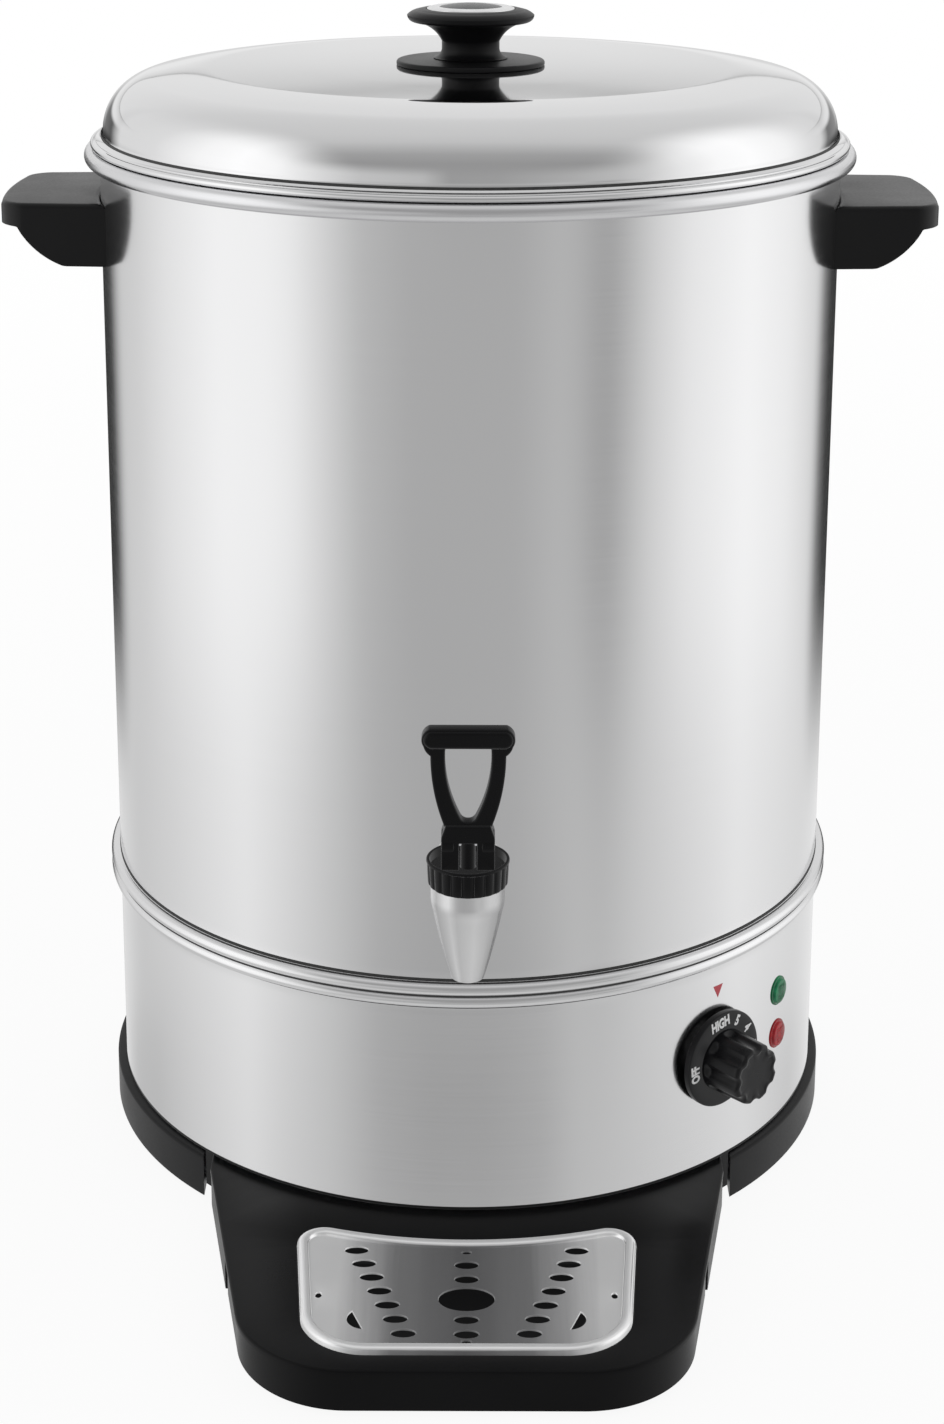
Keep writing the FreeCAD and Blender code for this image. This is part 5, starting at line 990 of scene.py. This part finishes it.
def tap_metal():
    """Tapered spout under a short neck, and the shank with its flange back to the tank."""
    shape = bmesh.new()
    tip, seat, bore, shank, flange = 174.0, 186.0, 5.2, 9.0, 15.0
    turn_section(shape, section([
        (bore, tip + 0.4), (5.6, tip, 0.4, 1), (6.6, tip), (7.2, tip + 0.6, 0.6, 1), (15.2, 206.5, 330, 1),
        (16.0, 212.5, 22, 1), (16.0, NUT_FOOT), (NECK_R, NUT_FOOT), (NECK_R, 221.5), (11.6, 221.5),
        (11.6, TAP_Z), (8.6, seat), (bore, seat),
    ], 0.5), 128, TAP_PLACE)
    back = Matrix.Translation((0, TAP_Y, TAP_Z)) @ Matrix.Rotation(-math.pi / 2, 4, "X")
    turn_section(shape, section([
        (6.0, 9.0), (shank, 9.0), (shank, 56.5), (flange - 0.6, 56.5), (flange, 57.1, 0.6, 1),
        (flange, 59.5), (shank, 59.5), (shank, 78.7), (8.4, 79.3), (6.0, 79.3),
    ], 0.8), 64, back)
    return build("tap_spout", shape)


# The spout's plating carries painted reflections.
dress(tap_metal(), "bright_plating", "vessel", ["tap_body"], plating_with_painted_reflections("spout_plating", TAP_Y),
      mirrored=False)


def ring_nut():
    """Black ring nut on the tap's neck, its brim standing up round the lever's foot."""
    inside, floor, top = NECK_R + 0.05, 225.0, 229.0
    return turned("tap_ring_nut", section([
        (inside, NUT_FOOT), (16.0, NUT_FOOT), (16.5, NUT_FOOT + 0.5, 0.5, 1), (17.1, 227.6), (17.8, 228.0),
        (17.8, top - 0.6), (17.2, top, 0.6, 1), (16.7, top), (16.35, top - 0.4, 0.4, 1), (16.2, floor),
        (inside, floor),
    ], 0.4), 176, TAP_PLACE)


def grip_rib():
    """One rib of the ring nut, at the nut's front: bulged across, with a rounded foot."""
    low, high, back = NUT_FOOT + 0.2, 227.9, 16.3
    loops = []
    for height, bulge, half in ((low, 0.0, 0.9), (low + 0.25, 0.3, 1.6), (low + 0.9, 0.55, 2.0),
                                (low + 5.0, 0.65, 2.05), (high - 0.5, 0.65, 2.1), (high, 0.6, 2.1)):
        lean = back + 0.35 + 0.35 * (height - low) / (high - low)
        loop = [(half, -back, height)]
        for number in range(7):
            across = math.cos(math.pi * number / 6)
            loop.append((half * across, -(lean + bulge * (1 - abs(across) ** 3.0) * 0.8), height))
        loops.append([*loop, (-half, -back, height)])
    return capped("one_grip_rib", loops, 50)


dress(ring_nut(), "tap_plastic", "vessel", ["tap_bonnet"], mirrored=False)
rib_places = [TAP_PLACE @ Matrix.Rotation(TURN * number / 22, 4, "Z") for number in range(22)]
repeated("tap_ring_nut_ribs", grip_rib(), rib_places, "tap_plastic", "vessel", ["tap_bonnet"],
         mirrored=False)


def valve_spring():
    """The coil spring round the valve's stem."""
    low, high, coil, wire, turns, sides = 192.15, 221.15, 5.2, 0.6, 7, 12
    rise = (high - low) / TURN / turns
    slope = math.atan2(rise, coil)
    loops = []
    for number in range(turns * 32 + 1):
        angle = TURN * number / 32
        out = Vector((math.cos(angle), math.sin(angle), 0))
        along = Vector((-out.y * math.cos(slope), out.x * math.cos(slope), math.sin(slope)))
        up = out.cross(along)
        centre = out * coil + Vector((0, TAP_Y, low + rise * angle))
        loops.append([centre + wire * (out * math.cos(TURN * n / sides) + up * math.sin(TURN * n / sides))
                      for n in range(sides)])
    return capped("valve_return_spring", loops)


spring = dress(valve_spring(), "screw_steel", "vessel", ["tap_spring"], mirrored=False)
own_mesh(spring)


def lever_piece():
    """Loop lever: a block that straddles the stem, two legs, and a thumb bar with round ends."""
    shape = bmesh.new()
    loop = walk([
        (10.0, 244.0), (16.0, 276.0, 90, 1), (18.9, 280.2, 7, 1), (16.2, 288.0, 5.2, 1), (-16.2, 288.0),
        (-18.9, 280.2, 5.2, 1), (-16.0, 276.0, 7, 1), (-10.0, 244.0, 90, 1),
    ], 0.8)
    window = walk([
        (7.7, 280.4), (9.7, 278.4, 2, -1), (3.0, 247.7, 60, -1), (-3.0, 247.7, 3.6, -1),
        (-9.7, 278.4, 60, -1), (-7.7, 280.4, 2, -1),
    ], 0.8)
    legs = both_edges(3.6, 1.1, 4)
    swept(shape, loop, legs, [window], legs, TAP_FRONT)
    thumb = walk([
        (15.6, 279.2), (19.2, 282.6, 4.4, 1), (15.8, 287.6, 4.4, 1), (-15.8, 287.6),
        (-19.2, 282.6, 4.4, 1), (-15.6, 279.2, 4.4, 1),
    ], 0.8)
    swept(shape, thumb, both_edges(4.6, 1.8, 5, 0.2), place=TAP_FRONT)
    low = 225.3
    block = walk([
        (3.8, low), (10.6, low), (11.4, low + 0.8, 0.8, 1), (11.4, 238.4), (10.9, 241.4, 6, 1),
        (9.6, 245.2), (-9.6, 245.2), (-10.9, 241.4), (-11.4, 238.4, 6, 1), (-11.4, low + 0.8),
        (-10.6, low, 0.8, 1), (-3.8, low), (-3.8, 237.4), (3.8, 237.4),
    ], 1.0)
    swept(shape, block, both_edges(5.5, 0.7, 3), place=TAP_FRONT)
    for side in (1, -1):
        cheek = Matrix.Translation((side * 8.6, TAP_Y, PIVOT_Z)) @ Matrix.Rotation(math.pi / 2, 4, "Y")
        turn_section(shape, section([
            (0, -2.7), (5.2, -2.7), (5.9, -2.0, 0.7, 1), (5.9, 2.0), (5.2, 2.7, 0.7, 1), (0, 2.7),
        ], 0.5), 48, cheek)
    return build("lever_loop", shape)


dress(lever_piece(), "tap_plastic", "lever", ["tap_lever"], mirrored=False)


# Dial and lamps

DIAL_PLACE = out_of_wall(DIAL_TURN, DIAL_Z)
DIAL_FACE = 5.2
POINTER_Z = 113.5
GRIP_FLUTES = 8
GRIP_SIDES = 192


def grip_radius(angle, height, foot, top):
    """The grip's radius: a slight taper, cut by round flutes that run out near its foot."""
    flute, centre, run_out, soft = 4.3, 17.3, 3.2, 0.35
    plain = 15.1 - 0.6 * (height - foot) / (top - foot)
    spread = TURN / GRIP_FLUTES
    off = (angle + spread / 2) % spread - spread / 2
    sideways = centre * math.sin(off)
    if abs(sideways) >= flute:
        return plain
    cut = centre * math.cos(off) - math.sqrt(flute * flute - sideways * sideways)
    rise = min(1.0, max(0.0, (height - foot - 1.2) / run_out))
    cut += (1 - math.sqrt(max(0.0, 1 - (1 - rise) ** 2))) * run_out
    return -soft * math.log(math.exp(-plain / soft) + math.exp(-cut / soft))


def dial_skirt():
    """The dial's thin round skirt, just off the wall."""
    foot = 1.8
    return turned("thermostat_skirt", section([
        (13.0, 4.2), (21.9, 4.2), (21.9, foot), (23.4, foot), (23.8, foot + 0.4, 0.4, 1), (23.8, 4.3),
        (23.2, 5.0, 0.7, 1), (21.8, DIAL_FACE), (13.0, DIAL_FACE),
    ], 0.4), 160, DIAL_PLACE)


def dial_grip():
    """The dial's fluted grip with a rounded end."""
    foot, top, soft, end = DIAL_FACE, 26.4, 1.9, 10.1
    straight = top - soft
    levels = [(0, foot - 0.6)]
    levels += [(0, foot + 0.4 * step) for step in range(13)]
    levels += [(0, height) for height in (12.5, 16.0, 20.0, 23.0, straight)]
    levels += [(soft - soft * math.cos(a), straight + soft * math.sin(a))
               for a in (0.3, 0.6, 0.9, 1.2, 1.5708)]
    levels += [(2.4, top - 0.02), (2.9, top - 0.25), (3.8, top - 0.42)]
    angles = [TURN * number / GRIP_SIDES for number in range(GRIP_SIDES)]
    loops = []
    for inset, height in levels:
        reaches = [grip_radius(angle, min(height, straight), foot, top) - inset for angle in angles]
        loops.append([DIAL_PLACE @ on_turn(*spot, height) for spot in zip(reaches, angles)])
    for share in (0.6, 0.25, 0.0):
        loops.append([DIAL_PLACE @ on_turn(end * share, angle, top - 0.46) for angle in angles])
    shape = bmesh.new()
    rows = loft(shape, loops)
    shape.faces.new(rows[0])
    return build("thermostat_grip", shape, 40)


dress(dial_skirt(), "dial_plastic", "dial", ["control_knob"])
dress(dial_grip(), "dial_plastic", "dial", ["control_knob"], mirrored=False)


def flat_text(name, words, size, place, bold, narrow):
    """Words as a thin raised mesh, centred on the place's own origin."""
    drawing = bpy.data.curves.new(name + "_words", "FONT")
    drawing.body = words
    drawing.size = size
    drawing.align_x, drawing.align_y = "CENTER", "CENTER"
    drawing.offset = bold
    drawing.extrude = 0.06
    drawing.resolution_u = 3
    shape = traced(name + "_words", drawing)
    bmesh.ops.transform(shape, matrix=place @ Matrix.Scale(narrow, 4, (1, 0, 0)), verts=shape.verts)
    return build(name, shape)


def dial_marks():
    """Heat settings printed on the skirt, each with its foot toward the grip."""
    marks = []
    for words, clock in (("HIGH", -9), ("5", 26), ("4", 54), ("3", 85), ("2", 115), ("1", 145),
                         ("OFF", 265)):
        turn = Matrix.Rotation(-math.radians(clock), 4, "Z")
        place = DIAL_PLACE @ turn @ Matrix.Translation((0, 19.2, DIAL_FACE + 0.03))
        marks.append(flat_text("mark", words, 7.0, place, 0.32, 0.72))
    return joined("dial_marks", *marks)


dress(dial_marks(), "dial_plastic", "dial", material=dial_ink, mirrored=False)


def wall_shape(name, points, turn, height):
    """A printed shape, drawn flat in millimetres and wrapped onto the tank's wall."""
    lift, thick = 0.06, 0.1
    return capped(name, [[on_turn(radius, turn + x / SHELL_R, height + y) for x, y in points]
                         for radius in (SHELL_R + lift - thick, SHELL_R + lift)])


pointer_corners = [(-3.2, 3.0), (0.0, -3.4), (3.2, 3.0)]
dress(wall_shape("dial_pointer", pointer_corners, DIAL_TURN, POINTER_Z), "red_lens", "vessel",
      material=pointer_ink)


def lamp_lens(name, place):
    """Indicator lens: a collar on the wall and a domed face, which the ridges go on."""
    stem, rim = 4.8, 7.35
    return turned(name, section([
        (0, -3.8), (stem, -3.8), (stem, 0.2), (rim - 0.2, 0.2), (rim, 0.4, 0.2, 1), (rim, 0.9),
        (rim - 0.4, 1.3, 0.4, 1), (6.5, 1.3), (6.2, 2.0), (5.6, 2.6, 0.7, 1), (0, 3.0, 39, 1),
    ], 0.25), 96, place)


def lens_ridge():
    """A thin upright ridge on the lens's face."""
    foot, side, rise = 2.2, 2.75, 0.35
    arc = [math.pi * number / 6 for number in range(7)]
    loops = []
    for y, half in ((-4.0, 0.05), (-3.4, 0.24), (3.4, 0.24), (4.0, 0.05)):
        loops.append([(half * math.cos(a), y, side + rise * math.sin(a)) for a in arc] + [(0, y, foot)])
    return capped("one_ridge", loops)


for label, height in LAMPS:
    dress(lamp_lens(label + "_lamp", out_of_wall(LAMP_TURN, height)), label + "_lens", "vessel",
          [label + "_lens"], mirrored=False)
for label, height in LAMPS:
    ridges = [out_of_wall(LAMP_TURN, height) @ Matrix.Translation((step, 0, -0.02 * step * step))
              for step in (-2.7, -1.35, 0.0, 1.35, 2.7)]
    repeated(label + "_lamp_ridges", lens_ridge(), ridges, label + "_lens", "vessel", [label + "_lens"],
             mirrored=False)


# Camera, room and floor

def camera():
    """The photograph's view: a shifted lens that looks 14 degrees down from just over the lid."""
    eye = (0, -1.2810, 0.6910)
    down, aside, roll = math.radians(14.093), 0.00098, 0.00355
    lens = bpy.data.cameras.new("camera")
    lens.sensor_fit = "VERTICAL"
    lens.sensor_height = 36.0
    lens.sensor_width = 36.0
    lens.lens = 66.6
    lens.shift_y = -0.22
    ahead = Vector((math.sin(aside) * math.cos(down), math.cos(aside) * math.cos(down), -math.sin(down)))
    level = ahead.cross(Vector((0, 0, 1))).normalized()
    upright = level.cross(ahead)
    right = level * math.cos(roll) + upright * math.sin(roll)
    up = upright * math.cos(roll) - level * math.sin(roll)
    holder = linked("camera", lens)
    holder.matrix_world = Matrix.Translation(eye) @ Matrix((right, up, -ahead)).transposed().to_4x4()
    bpy.context.scene.camera = holder


camera()

# How bright the room is all round the urn, at four heights. Each pair is a direction in degrees,
# from straight behind (-180) over the left side and the front (0) to the right, and a brightness:
# two tall soft boxes at the sides, a dim front, and a narrow dark flag at the right of the front.
ROOM_AT_LID = (
    (-180, 0.74), (-168, 0.7), (-159, 0.2), (-147, 0.12), (-137, 0.84), (-112, 0.9), (-90, 1.18),
    (-74, 1.28), (-60, 1.2), (-45, 0.88), (-33, 0.68), (-14, 0.6), (-6, 0.41), (8, 0.42), (30, 0.52),
    (45, 0.62), (54, 0.75), (66, 1.02), (80, 1.22), (94, 1.28), (112, 1.16), (126, 0.93), (137, 0.8),
    (145, 0.2), (159, 0.3), (168, 0.7), (180, 0.74),
)
ROOM_HIGH = (
    (-180, 0.02), (-149, 0.04), (-138, 0.74), (-124, 0.8), (-105, 1.0), (-82, 1.18), (-64, 1.16),
    (-55, 1.09), (-33, 0.62), (-18, 0.52), (14, 0.52), (27, 0.61), (33, 0.57), (38, 0.47), (43, 0.44),
    (57, 0.83), (70, 1.05), (94, 1.21), (116, 1.09), (136, 0.84), (144, 0.18), (152, 0.04), (180, 0.03),
)
ROOM_MIDDLE = (
    (-180, 0.85), (-152, 0.8), (-134, 0.72), (-110, 0.83), (-75, 1.04), (-62, 0.92), (-28, 0.54),
    (-10, 0.5), (14, 0.52), (34, 0.64), (43, 0.61), (56, 0.75), (96, 1.04), (136, 0.86), (180, 0.92),
)
ROOM_LOW = (
    (-180, 0.86), (-160, 0.8), (-143, 0.61), (-124, 0.61), (-75, 0.94), (-62, 0.81), (-44, 0.68),
    (-28, 0.49), (-12, 0.42), (6, 0.42), (24, 0.49), (36, 0.64), (103, 0.9), (134, 0.68), (160, 0.86),
    (180, 0.88),
)
# How bright it is from the front (0) over the top (90) to the back (180).
ROOM_OVER = (
    (0, 0.39), (31, 0.38), (48, 0.44), (74, 0.67), (90, 0.72), (130, 0.78), (150, 0.85), (180, 0.88),
)
# The back wall's own shading just over the horizon, with the thin dark edge of a panel.
BACK_EDGE = (
    (0, 1.0), (0.085, 1.0), (0.119, 0.9), (0.132, 0.81), (0.1375, 0.79), (0.139, 0.42), (0.1425, 0.42),
    (0.1445, 0.98), (0.3, 1.0),
)


class Sky(Nodes):
    """The world's node tree."""

    def __init__(self, name):
        self.world = bpy.data.worlds.new(name)
        self.world.use_nodes = True
        super().__init__(self.world.node_tree)
        self.nodes.clear()

    def step(self, source, start, end):
        """A soft step from 0 to 1."""
        return self.between(source, 0.0, 1.0, start, end, "SMOOTHSTEP")

    def levels(self, source, stops, unit=math.radians(1)):
        """Brightness along a run of (place, brightness) stops. The unit is what 1 stands for."""
        first, last = stops[0][0], stops[-1][0]
        run = self.between(source, 0.0, 1.0, first * unit, last * unit)
        return self.ramp(run, [((place - first) / (last - first), (value,) * 3) for place, value in stops])

    def mix(self, share, first, second, blend="MIX"):
        """Two colours mixed: the share belongs to the second."""
        made = self.nodes.new("ShaderNodeMix")
        made.data_type, made.blend_type = "RGBA", blend
        self.feed(made.inputs["Factor"], share)
        self.feed(made.inputs[6], first)
        self.feed(made.inputs[7], second)
        return made.outputs[2]


def room():
    """A plain studio: white to the camera, soft boxes and a dim front to everything else."""
    sky = Sky("studio")
    bpy.context.scene.world = sky.world
    x, y, z = sky.axes(sky.nodes.new("ShaderNodeTexCoord").outputs["Generated"])
    front = sky.maths("MULTIPLY", y, -1.0)
    back = sky.maths("MAXIMUM", y, 0.0)
    turn = sky.maths("ARCTAN2", x, front)
    lid, walls, middle, low = [sky.levels(turn, stops)
                               for stops in (ROOM_AT_LID, ROOM_HIGH, ROOM_MIDDLE, ROOM_LOW)]
    # Each brightness takes over between two heights of the direction that is looked in.
    for start, end, brightness in ((-0.30, -0.39, middle), (-0.445, -0.465, low), (-0.5, -0.62, 0.66),
                                   (-0.68, -0.78, 0.72), (-0.15, -0.08, lid)):
        walls = sky.mix(sky.step(z, start, end), walls, brightness)
    over = sky.levels(sky.maths("ARCTAN2", z, front), ROOM_OVER)
    edge = sky.levels(z, BACK_EDGE, 1.0)
    over = sky.mix(sky.step(back, 0.5, 0.8), over, sky.mix(1.0, over, edge, "MULTIPLY"))
    over = sky.mix(sky.step(sky.maths("ABSOLUTE", x), 0.52, 0.90), over, lid)
    rise = sky.maths("MULTIPLY", z, sky.maths("ADD", sky.maths("MULTIPLY", back, 8.0), 1.0))
    seen = sky.mix(sky.step(rise, 0.05, 0.45), walls, over)
    light, white = sky.nodes.new("ShaderNodeBackground"), sky.nodes.new("ShaderNodeBackground")
    sky.feed(light.inputs["Color"], seen)
    sky.feed(white.inputs["Color"], 1.0)
    sky.two_shaders(sky.nodes.new("ShaderNodeLightPath").outputs["Is Camera Ray"],
                    light.outputs["Background"], white.outputs["Background"],
                    sky.nodes.new("ShaderNodeOutputWorld"))


room()


def floor():
    """Pale sweep under the urn, nearly white to the camera, that keeps the soft shadow. The white that
    only the camera sees grows with distance, so that the floor meets the room without a line."""
    shape = bmesh.new()
    bmesh.ops.create_grid(shape, x_segments=8, y_segments=8, size=4000)
    item = build("studio_floor", shape)
    finish = Finish("floor_paper")
    grain = finish.grain(3, (1, 1, 1), 2)
    finish.colour(grain, (0.93, 0.93, 0.93), (0.95, 0.95, 0.95))
    finish.rough(grain, 0.7, 0.8)
    away = finish.nodes.new("ShaderNodeVectorMath")
    away.operation = "LENGTH"
    finish.links.new(finish.place, away.inputs[0])
    clean = finish.between(away.outputs["Value"], 0.92, 1.0, 0.5, 2.5)
    camera_rays = finish.nodes.new("ShaderNodeLightPath").outputs["Is Camera Ray"]
    finish.two_shaders(finish.maths("MULTIPLY", clean, camera_rays), finish.shader.outputs["BSDF"],
                       finish.nodes.new("ShaderNodeEmission").outputs["Emission"],
                       finish.nodes["Material Output"])
    item.data.materials.append(finish.material)
    item.visible_glossy = False


floor()
bpy.context.scene.view_settings.view_transform = "Standard"
